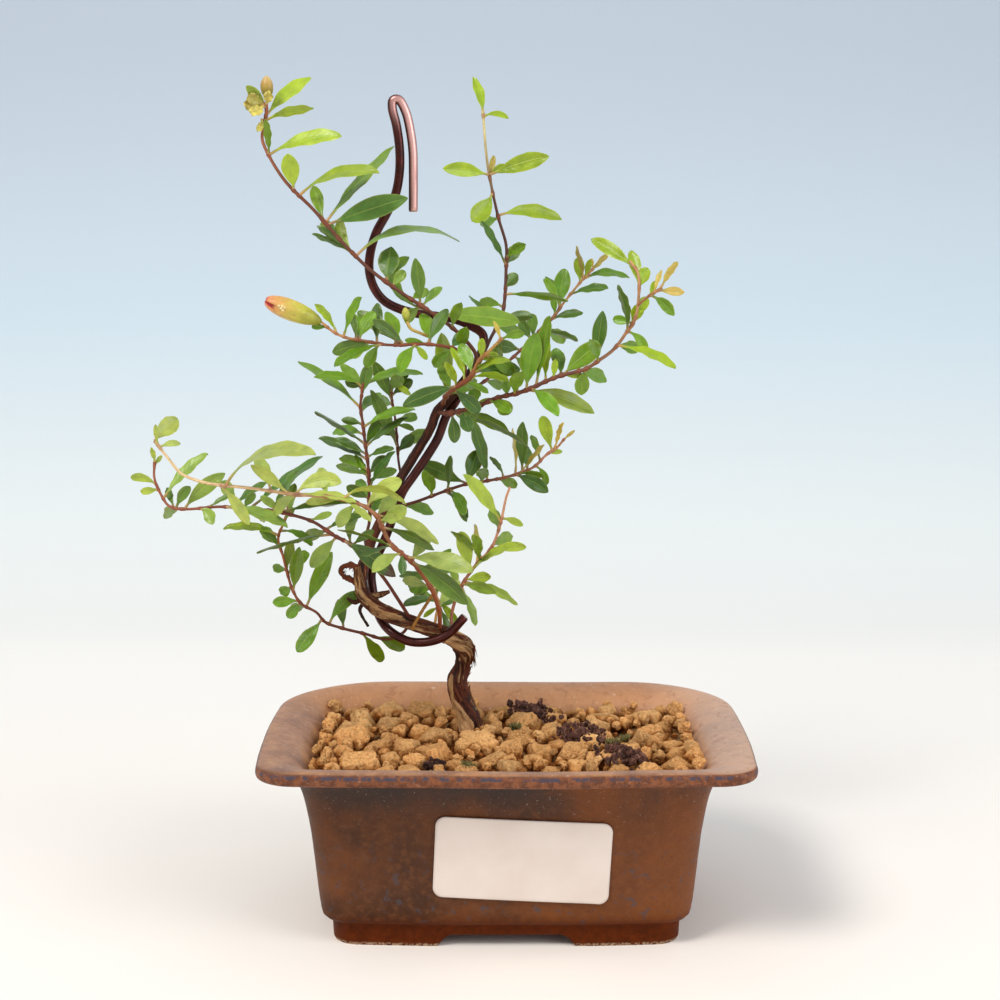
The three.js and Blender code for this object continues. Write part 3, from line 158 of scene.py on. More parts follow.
# Trunk: x, y, z and radius, from below the soil up to where the leader ends.
TRUNK_PATH = [
    (-9, 9, 32, 2.2), (-9.6, 9, 42, 2.8), (-10.4, 9, 49, 2.8), (-12.4, 9, 55, 2.6), (-13, 9, 59.4, 2.4),
    (-11.6, 9, 63.4, 1.8), (-11.2, 7.4, 68.6, 2.4), (-15, 4.4, 72.2, 2.1), (-20, 2, 74.8, 1.8),
    (-25, 1, 77, 1.7), (-30, 1, 78.8, 1.7), (-34.6, 2, 81, 1.7), (-38, 4, 84.4, 1.7),
    (-38.8, 6.6, 88.6, 1.5), (-37.2, 8.8, 94.4, 1.35), (-35, 10, 100, 1.3), (-32, 10, 106, 1.3),
    (-29, 10, 113, 1.3), (-26, 10, 118, 1.3), (-23, 9, 123, 1.25), (-20, 8, 128, 1.25),
    (-18, 7, 133, 1.25), (-15, 7, 136, 1.2), (-11, 7, 141, 1.1), (-8, 7, 145, 1.0), (-6, 6, 148, 0.9),
]
# The part's source smooths the trunk up to this row.
TRUNK_SMOOTH = 15
TRUNK_RIDGE = 0.14
TRUNK_SEED = 5150
TRUNK_STRIPS = 80
# Strips and fibres of bark: least value and spread of a strip's place along the trunk, its angle round it,
# its length and its radius, and of a fibre's length. A fibre has one radius.
STRIP = SimpleNamespace(start=(14, 56), angle=(-0.4, 3.4), length=(3, 5), radius=(0.2, 0.22))
CURL_FIBRES = SimpleNamespace(count=26, length=(0.9, 0.9), radius=0.24)
ELBOW_FIBRES = SimpleNamespace(count=14, length=(2.2, 2.4), radius=0.2)
ELBOW = Vector((-9.2, 7, 68.4))
# Lines of bare wood on the trunk: x, y, z and how wide the bark is gone there.
BARE_LINES = [
    [(-41.2, 4, 91.8, 1), (-40.3, 3, 88.7, 1), (-39.2, 1.5, 84.7, 1), (-36.5, 0.3, 80.9, 1.3),
     (-32, -0.6, 78.9, 1.3), (-26.7, -0.6, 77, 1.2), (-21.5, 0.2, 75, 1.4), (-17.5, 1.8, 73, 1.4)],
    [(-14.9, 3.5, 71.8, 1.8), (-12, 4.6, 71.3, 2.4), (-9.9, 5, 69.3, 2.6), (-9.7, 5.8, 67.2, 2)],
    [(-13.7, 6.8, 65.5, 1), (-15.1, 6.8, 62.2, 1), (-15.4, 6.6, 58.4, 0.8), (-14.6, 6.6, 55.1, 0.6),
     (-13.5, 6.4, 52.9, 1), (-12.1, 6.2, 50.2, 1.6), (-10.5, 6.2, 47.4, 2)],
]
STUMP = [(-38.4, 4.4, 84.6, 1.5), (-39.2, 4.2, 88.4, 1.3), (-39.4, 4.2, 91.6, 0.9)]
BARK_CURL = [
    (-39.2, 4.2, 91, 0.8), (-41.2, 4.2, 92, 0.75), (-43.2, 4.3, 91.6, 0.6), (-44, 4.4, 90.3, 0.55),
    (-43.2, 4.4, 89, 0.6), (-41.4, 4.4, 88.1, 0.8), (-39.2, 4.4, 86.9, 0.9),
]
CURL_MIDDLE = Vector((-41.3, 4.3, 90))
STUB = [(-36.4, 3.6, 83.4, 1.2), (-33.2, 4.6, 84, 0.8), (-31, 4.4, 84.8, 0.45)]
THORN = [(-37, 3.2, 82.8, 0.7), (-38.8, 2.2, 80.4, 0.5), (-36.6, 2, 75.8, 0.35)]
STALK = [
    (-24.8, -0.5, 75.6, 0.5), (-24.2, -1.5, 77, 0.45), (-22.2, -1.6, 80.6, 0.42), (-18.7, -1.4, 86, 0.42),
]
SPUR = [(-37.6, 3.4, 83.4, 0.8), (-40.4, 3, 82.2, 0.6), (-42.2, 3, 83.3, 0.4)]
ROOTS = [
    [(-10, 9, 43, 2.4), (-14, 11, 40, 1.9), (-16, 13, 35, 1.5), (-25, 17, 30, 0.9)],
    [(-10, 9, 42, 2.2), (-7, 13, 38, 1.8), (-5, 16, 33, 1.4), (3, 22, 27, 0.8)],
    [(-9, 9, 42, 2.2), (-7, 4, 37, 1.8), (-6, 2, 31, 1.3), (2, -7, 25, 0.8)],
]

WIRE_RADIUS = 1.2
WIRE_GAP = 0.3
# A pale pink highlight is painted on one side of the hook, up to this far from the wire's end.
HIGHLIGHT_LENGTH = 40
HIGHLIGHT_FADE = 14
HIGHLIGHT_SIDE = Vector((0.45, -0.89, 0))
# Where the wire climbs with the trunk: the part of the trunk's line, and degrees round it from the front.
WIRE_TURNS = [
    (0.56, 122), (0.59, 96), (0.62, 72), (0.66, 50), (0.7, 44), (0.74, 58), (0.78, 80), (0.82, 98),
    (0.86, 118), (0.9, 142),
]
WIRE_START = [
    (-10.8, -1, 79.2), (-12.2, -1, 77.6), (-14.3, -0.6, 75.2), (-17.2, -0.8, 73.3), (-21.6, 0, 72),
    (-26, 0.6, 72.2), (-30.3, 1.6, 74.3), (-33.1, 4.6, 76.6), (-34.8, 7.2, 79.8), (-35.8, 9.2, 84.2),
    (-36.2, 10, 88.4),
]
WIRE_HOOK = [
    (-8.2, 12.4, 144.4), (-6.2, 13, 149), (-6.2, 13.4, 152.6), (-9.7, 13.6, 155), (-13.6, 13, 156.6),
    (-17.8, 12, 157.4), (-23.5, 10.6, 158.2), (-28.4, 9.6, 159.6), (-32, 9, 161.6), (-34.6, 8.6, 165),
    (-35.8, 8.4, 169.6), (-35.4, 8.4, 174.4), (-33.8, 8.4, 179.4), (-31.2, 8.4, 184), (-28.8, 8.4, 189),
    (-27.7, 8.4, 194.6), (-27.6, 8.4, 200.6), (-28.4, 8.4, 206.8), (-29.4, 8.4, 211), (-29.2, 8.4, 213),
    (-27.8, 8.4, 213.2), (-26, 8.4, 210.2), (-24.9, 8.4, 205.8), (-24.2, 8.4, 200.4), (-24.1, 8.4, 194.2),
    (-24.2, 8.4, 184.6),
]


# ---- sprays ----------------------------------
#
# One call for each spray, with
# - the radii of its twig at the root and at the tip,
# - how many leaves grow on its far side, and between which percentages of the twig,
# - the twig's colours at the root and at the tip, and how far along the first one holds,
# - how much paler its younger leaves are,
# - the twig's line: x, y, z,
# - its leaves: how far along the twig each grows in percent, the way it points in the front view in degrees
#   up from +X, its length and its width as the front view shows them, its age (0 old and dark, 1 grown,
#   2 young and bright, 3 a bud leaf, SEEN_UNDER seen from below), and how far it arches in degrees.

SEEN_UNDER = 4

Spray = namedtuple("Spray", "name radii back bark pale path leaves")
SPRAYS = [
    Spray("spray_crown_left", (0.75, 0.5), (4, 8, 57), (srgb(106, 58, 38), srgb(168, 100, 66), 0.6), 0.08, [
        (-8, 7, 145), (-8, 4, 148), (-10, 2, 151), (-14, 0, 155), (-21, -1, 160), (-27, -2, 164),
        (-35, -3, 170), (-41, -4, 176), (-49, -4, 185), (-56, -3, 192), (-61, -1, 200), (-62, 0, 203),
        (-61.1, 0, 207.2), (-60.8, 0, 209.6), (-60.6, 0.1, 212.9)
    ], [
        (95, 45, 15, 3.9, 2, 20), (94, 12, 13, 2.3, 2, 25), (97, 130, 7, 2.6, 2, 20),
        (84, 92, 8.5, 1.6, 1, 10), (84, 12, 19.5, 3.9, 2, 35), (72, 98, 9, 4.6, 2, 5),
        (70, 14, 21.5, 3.2, 2, 55), (61, 107, 9, 3, 1, 10), (60, 48, 26, 3.1, 1, 8),
        (59, 19, 21.5, 5.2, 0, 10), (49, 156, 12, 1.5, 0, 10), (49, 144, 11.5, 2.3, 4, 10),
        (48, 113, 10.5, 3.1, 2, -60), (48, 8, 28, 2.2, 1, 75), (37, 85, 9, 5.6, 4, 10),
        (24, 120, 17, 2.4, 1, -100), (35, 50, 5, 2.5, 1, 20), (26, 95, 12, 3.4, 0, 10),
        (29, 25, 5, 2.5, 1, 20), (25, 45, 7, 2.1, 1, 40), (21, -5, 22, 4.6, 1, 15)
    ]),
    Spray("spray_crown_middle", (0.7, 0.45), (3, 5, 45), (srgb(92, 52, 38), srgb(222, 208, 146), 0.62), 0, [
        (-6.6, 6.3, 147), (-5.6, 6.2, 148.6), (-4, 7, 152), (-1, 9, 158), (0, 10, 170), (0, 10, 176),
        (-2, 9, 183), (-4, 8, 192), (-5, 7, 198), (-6, 6, 210)
    ], [
        (99, 105, 10.3, 2.6, 2, 15), (98, -5, 6.5, 1.6, 2, 70), (75, 173, 12, 3.8, 2, 20),
        (75, 17, 16, 4.6, 2, 15), (74, 80, 6, 1.6, 3, 5), (75, 35, 5, 2, 2, 20), (68, -127, 9, 5, 2, -20),
        (59, -3, 17, 3.8, 2, 45), (58, -160, 5, 2.5, 1, 20), (39, 120, 13, 1.7, 0, 10),
        (39, 55, 6, 3.6, 4, 20), (30, 45, 5, 3.4, 4, 20), (27, -5, 17, 1.9, 1, 30), (16, 10, 9, 3, 4, 30),
        (13, 130, 11, 1.2, 0, 10)
    ]),
    Spray("spray_crown_right", (0.65, 0.42), (6, 15, 80), (srgb(112, 64, 42), srgb(204, 160, 100), 0.5), 0, [
        (-13.6, 7, 137.4), (-10.6, 6, 138.4), (-7, 9, 139.6), (-2, 17, 143), (4, 21, 148), (9, 23, 153),
        (13, 24, 157), (16, 25, 161), (21, 26, 167), (24, 27, 170)
    ], [
        (74, 80, 11, 4.2, 1, 10), (75, 120, 9, 2, 1, 20), (83, 10, 10, 2, 0, 25), (90, 95, 7, 3, 2, 10),
        (93, 105, 9, 1.2, 3, 5), (94, 75, 5, 1.8, 2, 5), (96, 45, 9, 1.6, 3, 10), (93, 0, 13, 2.1, 1, 45),
        (68, 10, 9, 2.1, 0, 20), (71, 100, 5, 1.7, 1, 10), (60, -15, 11, 1.8, 4, 30), (99, 95, 3, 1, 3, 5),
        (47, 170, 7, 3.4, 0, 20), (54, 120, 6, 3, 0, 10)
    ]),
    Spray("spray_right_arm", (0.85, 0.45), (9, 6, 75), (srgb(100, 54, 38), srgb(206, 156, 112), 0.45), 0, [
        (-18, 6.6, 132.4), (-15, 2.4, 132.6), (-13, 0, 133.2), (-7, -3, 135), (-3, -5, 137), (4, -8, 139),
        (13, -10, 143), (20, -11, 145), (23, -12, 147), (27, -12, 150), (30, -12, 154), (32, -12, 157),
        (33, -11, 161), (33, -10, 169), (31, -9, 172)
    ], [
        (97, 145, 13, 3.6, 2, 15), (100, 100, 8, 1.2, 3, 5), (91, 100, 9, 3.1, 2, 20),
        (90, 65, 6, 3.2, 2, 15), (81, 55, 6, 3, 2, 15), (78, 60, 6, 3.2, 2, 15), (79, 170, 5, 2.2, 1, 15),
        (76, 105, 12, 2.1, 4, 25), (76, -50, 7, 2.3, 1, 60), (70, -20, 15, 2.3, 2, 35),
        (50, 40, 13, 4.7, 1, 10), (50, 0, 5, 2, 2, 15), (58, -100, 7, 3.5, 1, 20), (62, 85, 13, 3.4, 0, 8),
        (37, -20, 19, 4.2, 2, 25), (41, 80, 18, 3, 1, 8), (37, 80, 15, 5, 1, 10), (44, 85, 10, 2.1, 2, 10),
        (47, 85, 5, 1.8, 2, 10), (34, 90, 6, 2.1, 0, 10), (27, -60, 5, 3.8, 1, 15), (30, 95, 4, 2.2, 1, 10),
        (20, -130, 5, 3.6, 0, 30), (9, -25, 22, 1.7, 4, 25), (5, -20, 18, 3.1, 1, 45),
        (8, -85, 8, 3.4, 4, 20), (16, 15, 7, 1.8, 2, 30), (12, -65, 6, 3.4, 0, 20)
    ]),
    Spray("spray_right_tip", (0.45, 0.4), (1, 50, 60), (srgb(180, 120, 84), srgb(214, 170, 120), 0.3), 0, [
        (33, -11.4, 161), (35, -14, 163), (37, -16, 164.4), (38.4, -17, 165.4)
    ], [
        (96, 55, 8, 1.7, 3, 8), (85, -5, 7, 2.3, 3, 12), (71, 70, 6, 1.2, 3, 5), (54, 65, 4, 1.7, 2, 5)
    ]),
    Spray("spray_front_shoot", (0.9, 0.5), (5, 10, 90), (srgb(132, 72, 42), srgb(190, 150, 84), 0.5), 0, [
        (-16.6, 7, 134.4), (-16.2, 2.4, 136), (-15.4, -2, 137.6), (-13, -7, 140), (-9, -11, 143),
        (-7, -13, 147), (-4, -15, 150), (-1, -16, 153)
    ], [
        (24, 95, 16, 4.7, 2, 5), (46, 115, 7, 2.3, 2, 15), (55, 115, 9, 2.1, 2, 30),
        (57, 25, 12, 1.4, 2, 50), (60, -5, 10, 1.8, 2, 45), (53, -25, 7, 1.5, 1, 30),
        (76, 15, 5, 2.3, 2, 20), (79, 90, 5, 2.1, 2, 15), (98, 110, 5, 1.2, 3, 20), (99, 15, 6, 2.1, 1, 25),
        (47, -160, 15, 3.9, 0, 15), (39, -40, 9, 3.4, 0, 15), (66, 0, 12, 3.9, 0, 15)
    ]),
    Spray("spray_bud_twig", (0.62, 0.42), (7, 15, 85), (srgb(124, 64, 42), srgb(206, 150, 98), 0.6), 0, [
        (-11, 7, 141.6), (-10.6, 3, 145), (-11.4, -1.4, 148.4), (-14, -5, 150), (-20, -7, 151),
        (-23, -8, 151), (-30, -10, 151), (-35, -12, 152), (-40, -14, 153), (-43, -15, 154.4),
        (-46, -16, 157)
    ], [
        (91, 130, 9, 2.1, 2, 45), (86, 65, 11, 2.1, 1, 30), (79, 60, 8, 3.1, 1, 15),
        (80, 100, 7, 1.6, 0, 10), (57, 145, 14, 3.6, 0, 15), (55, 140, 10, 2.6, 0, 15),
        (69, 90, 10, 2.9, 0, 10), (72, -165, 10, 3.4, 0, 15), (67, -155, 12, 2.1, 1, 25),
        (68, -120, 7, 2.8, 1, 10), (66, -20, 7, 2.5, 1, 20), (43, 170, 6, 1.7, 1, 10),
        (55, 135, 7, 1.2, 2, 10), (50, -50, 5, 1.8, 2, 15), (96, 180, 4, 1.4, 1, 10),
        (43, 60, 10, 3.1, 0, 20), (31, 45, 5, 2.8, 0, 10)
    ]),
    Spray("spray_inner_left", (0.65, 0.45), (8, 15, 95), (srgb(106, 52, 38), srgb(136, 74, 50), 0.6), 0, [
        (-37, 9, 95), (-38, 13, 97.4), (-37, 15, 102), (-37, 15, 107), (-37, 14, 116), (-38, 14, 125),
        (-38.4, 14, 129), (-39, 14, 133), (-38.4, 14, 138), (-38, 14, 142)
    ], [
        (93, 10, 16, 2.3, 1, 45), (94, 170, 13, 2.1, 1, 45), (82, 145, 21, 1.7, 1, 20),
        (93, 165, 5, 2.5, 4, 10), (71, 20, 15, 1.9, 1, 40), (73, 170, 6, 2.3, 4, 20),
        (62, 145, 16, 1.5, 0, 12), (61, 35, 14, 1.7, 0, 15), (56, 155, 10, 2.3, 0, 25),
        (53, 160, 15, 2.3, 0, 25), (55, 20, 8, 1.7, 0, 25), (46, 40, 7, 3.5, 0, 15),
        (45, 160, 9, 2.1, 0, 20), (42, 120, 8, 1.6, 1, 10), (38, 55, 13, 1.8, 0, 20), (88, 75, 9, 3, 0, 8),
        (32, 150, 7, 3, 0, 10), (29, 30, 8, 2.6, 1, 20)
    ]),
    Spray("spray_inner_back", (0.5, 0.4), (5, 25, 95), (srgb(102, 50, 36), srgb(136, 78, 52), 0.6), 0, [
        (-28, 10, 115), (-29, 15, 119), (-29.4, 18, 123), (-30, 20, 129), (-31, 21, 135), (-31, 21, 140)
    ], [
        (97, 25, 5, 1.8, 0, 20), (80, 115, 12, 3.5, 0, 5), (56, -15, 5, 1.5, 0, 60),
        (47, 160, 5, 2.3, 4, 15), (30, 45, 6, 3, 0, 10), (97, -30, 6, 1.8, 2, 20), (36, 115, 17, 3.1, 0, 8),
        (86, 45, 7, 3.4, 4, 10)
    ]),
    Spray("spray_left_arm", (0.68, 0.42), (6, 25, 85), (srgb(112, 54, 40), srgb(160, 92, 62), 0.5), 0.2, [
        (-25, 1, 77.6), (-28, -4, 84), (-32, -7, 91), (-36, -9, 96), (-40, -10, 100), (-44, -11, 102.4),
        (-49, -12, 106), (-55, -12, 108), (-60, -12, 109), (-66, -12, 109.6), (-73, -12, 110),
        (-82, -12, 109.4), (-86, -11, 110), (-88, -10, 112.4), (-90, -9, 117), (-90, -8, 121)
    ], [
        (93, 170, 8, 2.3, 2, 50), (92, 190, 5, 2, 2, 10), (89, 45, 16, 2.6, 1, 25),
        (85, 120, 5, 1.8, 0, 10), (84, 55, 7, 2.5, 0, 30), (82, 40, 14, 3.6, 1, 20), (77, -50, 5, 3, 1, 60),
        (75, 30, 7, 1.2, 0, 5), (68, 35, 10, 1.8, 0, 20), (63, 35, 21, 2.1, 0, 8), (57, 55, 14, 2.1, 0, 8),
        (70, -15, 17, 2.1, 1, 30), (65, 50, 5, 2, 0, 20), (55, 5, 20, 2.6, 4, 12), (54, 140, 7, 2, 1, 10),
        (46, 20, 6, 1.7, 1, 10), (39, -165, 20, 1.5, 0, 12), (37, -130, 11, 3.6, 1, 15),
        (41, 20, 10, 1.8, 0, 20), (35, -30, 16, 4.5, 0, 12), (100, 95, 4, 1.4, 2, 10),
        (99, 55, 3, 1.2, 2, 10), (32, 35, 7, 2, 0, 20)
    ]),
    Spray("spray_left_pale", (0.85, 0.45), (9, 8, 75), (srgb(158, 88, 52), srgb(236, 208, 160), 0.22), 0.42, [
        (-17.6, 3.2, 74.2), (-17.4, -2.6, 78.6), (-17.4, -6, 81.4), (-19, -11, 88), (-23, -14, 95),
        (-27, -16, 99), (-29, -17, 101), (-31, -18, 105), (-32, -19, 108), (-35, -20, 111),
        (-38, -21, 112.4), (-43, -23, 114), (-52, -25, 115), (-63, -28, 117), (-71, -29, 118),
        (-75, -30, 119), (-79, -31, 121), (-82, -32, 125), (-85, -32, 129)
    ], [
        (100, 45, 7, 4.5, 2, 15), (99, 90, 5, 1.3, 2, 5), (98, 10, 5, 1.5, 1, 60), (80, 21, 26, 2.4, 2, 70),
        (81, -60, 12, 3.1, 2, 15), (66, 135, 11, 3.1, 2, 15), (64, 10, 11, 4.2, 2, 75),
        (63, -10, 14, 1.5, 2, 30), (53, -5, 16, 2.3, 2, 100), (47, 35, 11, 4.2, 2, 40),
        (44, -30, 18, 2.6, 2, 30), (53, -175, 9, 2.3, 2, 15), (52, -35, 8, 1.5, 2, 15),
        (40, -20, 14, 2.9, 0, 30), (41, 35, 8, 3.6, 1, 20), (34, 155, 15, 1.8, 4, 15),
        (32, -85, 5, 2.1, 0, 15), (35, -165, 8, 1.3, 4, 20), (30, -5, 17, 3.6, 1, 30),
        (29, -35, 18, 4.5, 0, 20), (26, -5, 9, 3.6, 0, 20), (42, 15, 5, 2.5, 1, 20)
    ]),
    Spray("spray_left_drop", (0.62, 0.4), (4, 30, 90), (srgb(116, 60, 42), srgb(186, 112, 66), 0.4), 0, [
        (-25, 1, 77.2), (-26, 5, 75.6), (-28, 8, 72.6), (-32, 8, 71), (-38, 6, 73), (-44, 4, 75),
        (-48, 2, 77), (-50, 0, 80), (-54, -2, 83), (-56, -3, 87), (-57, -4, 91), (-58, -5, 96),
        (-59, -6, 101), (-57, -7, 106), (-56, -6, 111)
    ], [
        (72, 175, 4, 2.3, 1, 5), (65, -145, 4, 2.9, 1, 10), (59, -175, 7, 2.8, 1, 10),
        (58, -130, 5, 2.8, 1, 10), (63, 80, 13, 3.4, 1, 5), (72, 80, 8, 2.8, 2, 5), (55, 65, 15, 3.8, 1, 8),
        (43, 45, 11, 3.1, 1, 35), (46, -130, 10, 3.6, 1, 10), (29, -62, 10.4, 3.2, 1, 10),
        (24, -30, 9, 3.4, 1, 20), (80, 130, 8, 1.8, 1, 25), (86, 175, 15, 1.9, 2, 40),
        (88, -25, 9, 1.7, 1, 60), (93, 50, 4, 1.6, 1, 10)
    ]),
    Spray("spray_right_pink", (0.65, 0.45), (4, 20, 85), (srgb(156, 94, 68), srgb(222, 168, 136), 0.2),
          0.15, [
        (-14.2, 5, 73), (-14.6, 7.4, 77.6), (-12.6, 9, 84), (-9, 9, 90), (-4, 7, 96), (-2, 6, 101),
        (-1, 5, 105), (0, 4, 110), (1, 3, 113)
    ], [
        (100, 85, 10, 3.4, 2, 5), (77, 125, 17, 3.4, 2, 20), (80, -20, 6, 2.1, 2, 30),
        (58, 5, 10, 2.8, 2, 30), (51, 140, 11, 1.9, 1, 40), (41, 35, 15, 1.3, 2, 30),
        (40, 105, 11, 4.2, 2, 10), (47, 95, 10, 1.5, 3, 5), (32, -25, 16, 1.9, 2, 40),
        (34, 10, 7, 3.1, 2, 20), (26, 110, 9, 1.9, 1, 15), (29, -70, 11, 1.9, 1, 20)
    ]),
    Spray("spray_shoulder", (0.55, 0.4), (5, 25, 95), (srgb(198, 142, 66), srgb(206, 160, 92), 0.3), 0, [
        (-19, 2.6, 75.4), (-18.6, 6.4, 78.4), (-18, 10, 80), (-19, 13, 82), (-20, 15, 84.4), (-22, 15, 88)
    ], [
        (84, 175, 9, 1.8, 0, 40), (56, -50, 9, 2.3, 2, 15), (43, -70, 10, 1.8, 0, 10),
        (99, -140, 6, 2.1, 0, 20), (56, -175, 9, 2.1, 0, 30), (40, -145, 5, 1.4, 2, 20),
        (96, 45, 7, 3.1, 0, 15), (72, 5, 5, 3, 0, 15)
    ]),
    Spray("spray_right_low", (0.65, 0.42), (6, 12, 80), (srgb(106, 54, 40), srgb(204, 146, 116), 0.5), 0, [
        (-33, 10, 105), (-32, 14, 105.4), (-29, 16, 106), (-24, 16, 107.4), (-17, 16, 110), (-11, 16, 112),
        (-5, 16, 113), (0, 16, 114), (5, 17, 115.4), (8, 17, 117), (11, 17, 120), (14, 18, 122),
        (16, 18, 124.4)
    ], [
        (57, 105, 16, 3.1, 0, 5), (65, 125, 7, 1.5, 4, 30), (74, 90, 14, 3.1, 0, 5),
        (71, 95, 12, 1.2, 3, 5), (73, 50, 10, 1.2, 3, 5), (84, 110, 7, 1.8, 1, 10),
        (91, 105, 10, 3.6, 2, 5), (93, 75, 8, 1.2, 3, 5), (89, 5, 4, 1.5, 2, 20), (81, -60, 6, 1.8, 1, 50),
        (72, -5, 7, 1.7, 1, 25), (70, -25, 10, 3.6, 0, 20), (99, 40, 4, 1, 3, 10), (47, 160, 14, 4.2, 0, 5),
        (47, 70, 9, 4.2, 0, 5), (37, -50, 9, 1.9, 0, 25), (38, -60, 10, 2.1, 4, 20), (38, 85, 10, 2.1, 0, 5)
    ]),
]

# Seeds of the part's source, and of the leaves' own looks.
SPRAY_SEED = 4101
SPRAY_SEED_STEP = 17
LEAF_SEED = 8200
LEAF_SEED_STEP = 13
# Leaves lean this many degrees at most towards the viewer or away, and this far once turned aside.
LEAF_LEAN = 34
LEAN_LIMIT = 70
# Most of the leaves on the far side lean away, the rest towards the viewer. Least value and spread of their
# lean, of their turn from the twig, of their length and of their width.
FAR_LEAF = SimpleNamespace(away=0.8, lean_away=(42, 22), lean_near=(40, 20), turn=(35, 60), chord=(6, 3.5),
                           width=(2.4, 1), age=1, arch=25)
# This part of the leaves rolls one way, the rest the other way.
ROLL_PART = 0.85
# The least width of a blade as a part of its length, the longest blade, and the stalk's radius.
LEAF_LONG_WIDTH = 0.24
LEAF_LONGEST = 29
LEAF_PETIOLE = 0.36
# Longer leaves are lances, shorter ones are ovals.
LANCE_LENGTH = 12
# A leaf is the CAD solid's when its tip lies this near to one of its corners.
MATCH = 0.06
# The twigs' radii against those of the CAD solids.
TWIG_SCALE = 0.78
# Where the big leaf with the dead brown tip ends, and the spray that it grows on.
DEAD_TIP = Vector((-28.4, 0, 90.4))
DEAD_TIP_SPRAY = "spray_left_arm"
# How the part's source turns a leaf aside where it would cut another piece: degrees of angle and of lean.
TURNS = [
    (0, 0), (0, 18), (0, -18), (10, 0), (-10, 0), (0, 36), (0, -36), (12, 24), (-12, -24), (-12, 24),
    (12, -24), (22, 0), (-22, 0), (0, 56), (0, -56), (25, 40), (-25, -40), (-25, 40), (25, -40),
]


# Leaf colours by age, upper face and lower face.
LEAF_TOPS = [
    srgb(58, 100, 28), srgb(92, 138, 18), srgb(138, 166, 24), srgb(188, 164, 78), srgb(112, 142, 74),
]
LEAF_UNDERS = [
    srgb(98, 130, 70), srgb(120, 148, 52), srgb(160, 182, 52), srgb(176, 156, 80), srgb(74, 108, 36),
]
LEAF_GLOW = srgb(132, 152, 16)
PALE_LEAF = srgb(204, 206, 128)
PETIOLE_TINT = srgb(196, 132, 104)
DEAD_TINT = srgb(74, 46, 28)
NODE_TINT = srgb(138, 74, 46)

# ---- small tools -----------------------------

def random_source(seed):
    """The same draws as the part's source makes from this seed."""
    state = seed

    def draw():
        nonlocal state
        state = state * 16807 % 2147483647
        return state / 2147483647

    return draw


def drawn(draw, least, spread):
    """A number of least or more, up to spread more than that."""
    return least + spread * draw()


def clamp(value, low=0.0, high=1.0):
    return max(low, min(high, value))


def mixed(first, second, part):
    return tuple(a + (b - a) * part for a, b in zip(first, second))


def smoothstep(low, high, value):
    part = clamp((value - low) / (high - low))
    return part * part * (3 - 2 * part)


def row_at(rows, value):
    """The rest of a row, between the rows on either side of the value."""
    for low, high in zip(rows, rows[1:]):
        if value <= high[0]:
            break
    return mixed(low[1:], high[1:], clamp((value - low[0]) / (high[0] - low[0])))


def smooth(rows, step):
    """Rows of x, y, z and more on a smooth line through the given rows, about a step apart."""
    rows = [Vector(row) for row in rows]
    rows = [2 * rows[0] - rows[1], *rows, 2 * rows[-1] - rows[-2]]
    result = []
    for p0, p1, p2, p3 in zip(rows, rows[1:], rows[2:], rows[3:]):
        t1 = max((p1 - p0).length, 1e-4) ** 0.5
        t2 = t1 + max((p2 - p1).length, 1e-4) ** 0.5
        t3 = t2 + max((p3 - p2).length, 1e-4) ** 0.5
        count = max(1, math.ceil((p2 - p1).length / step))
        for i in range(count):
            t = t1 + (t2 - t1) * i / count
            a1 = p0 * ((t1 - t) / t1) + p1 * (t / t1)
            a2 = p1 * ((t2 - t) / (t2 - t1)) + p2 * ((t - t1) / (t2 - t1))
            a3 = p2 * ((t3 - t) / (t3 - t2)) + p3 * ((t - t2) / (t3 - t2))
            b1 = a1 * ((t2 - t) / t2) + a2 * (t / t2)
            b2 = a2 * ((t3 - t) / (t3 - t1)) + a3 * ((t - t1) / (t3 - t1))
            result.append(b1 * ((t2 - t) / (t2 - t1)) + b2 * ((t - t1) / (t2 - t1)))
    result.append(rows[-2].copy())
    return result


def distances(places):
    """How far along the line each place is."""
    run = [0.0]
    for before, after in zip(places, places[1:]):
        run.append(run[-1] + (after.xyz - before.xyz).length)
    return run


def along(points, part):
    """The place and the direction at a part of the way along a line of straight stretches."""
    lengths = [(b - a).length for a, b in zip(points, points[1:])]
    left = part * sum(lengths)
    i = 0
    while i < len(lengths) - 1 and left > lengths[i]:
        left -= lengths[i]
        i += 1
    direction = (points[i + 1] - points[i]).normalized()
    return points[i] + direction * min(left, lengths[i]), direction


def frames(places):
    """The directions along a line, and two across it that turn as little as they can."""
    normal = VIEWER.copy()
    result = []
    for before, after in zip([places[0], *places], [*places[1:], places[-1]]):
        forward = (after.xyz - before.xyz).normalized()
        normal = (normal - forward * normal.dot(forward)).normalized()
        result.append((forward, normal.copy(), forward.cross(normal)))
    return result


def tube_rings(rows, sides, spot_at):
    """Rings of spots round a line. spot_at: radius, tint and mark at a row, an angle, a way along and out."""
    rings = []
    for row, run, (_, normal, across) in zip(rows, distances(rows), frames(rows)):
        ring = []
        for side in range(sides):
            angle = 2 * math.pi * side / sides
            out = normal * math.cos(angle) + across * math.sin(angle)
            radius, tint, mark = spot_at(row, angle, run, out)
            ring.append((row.xyz + out * radius, tint, mark))
        rings.append(ring)
    return rings


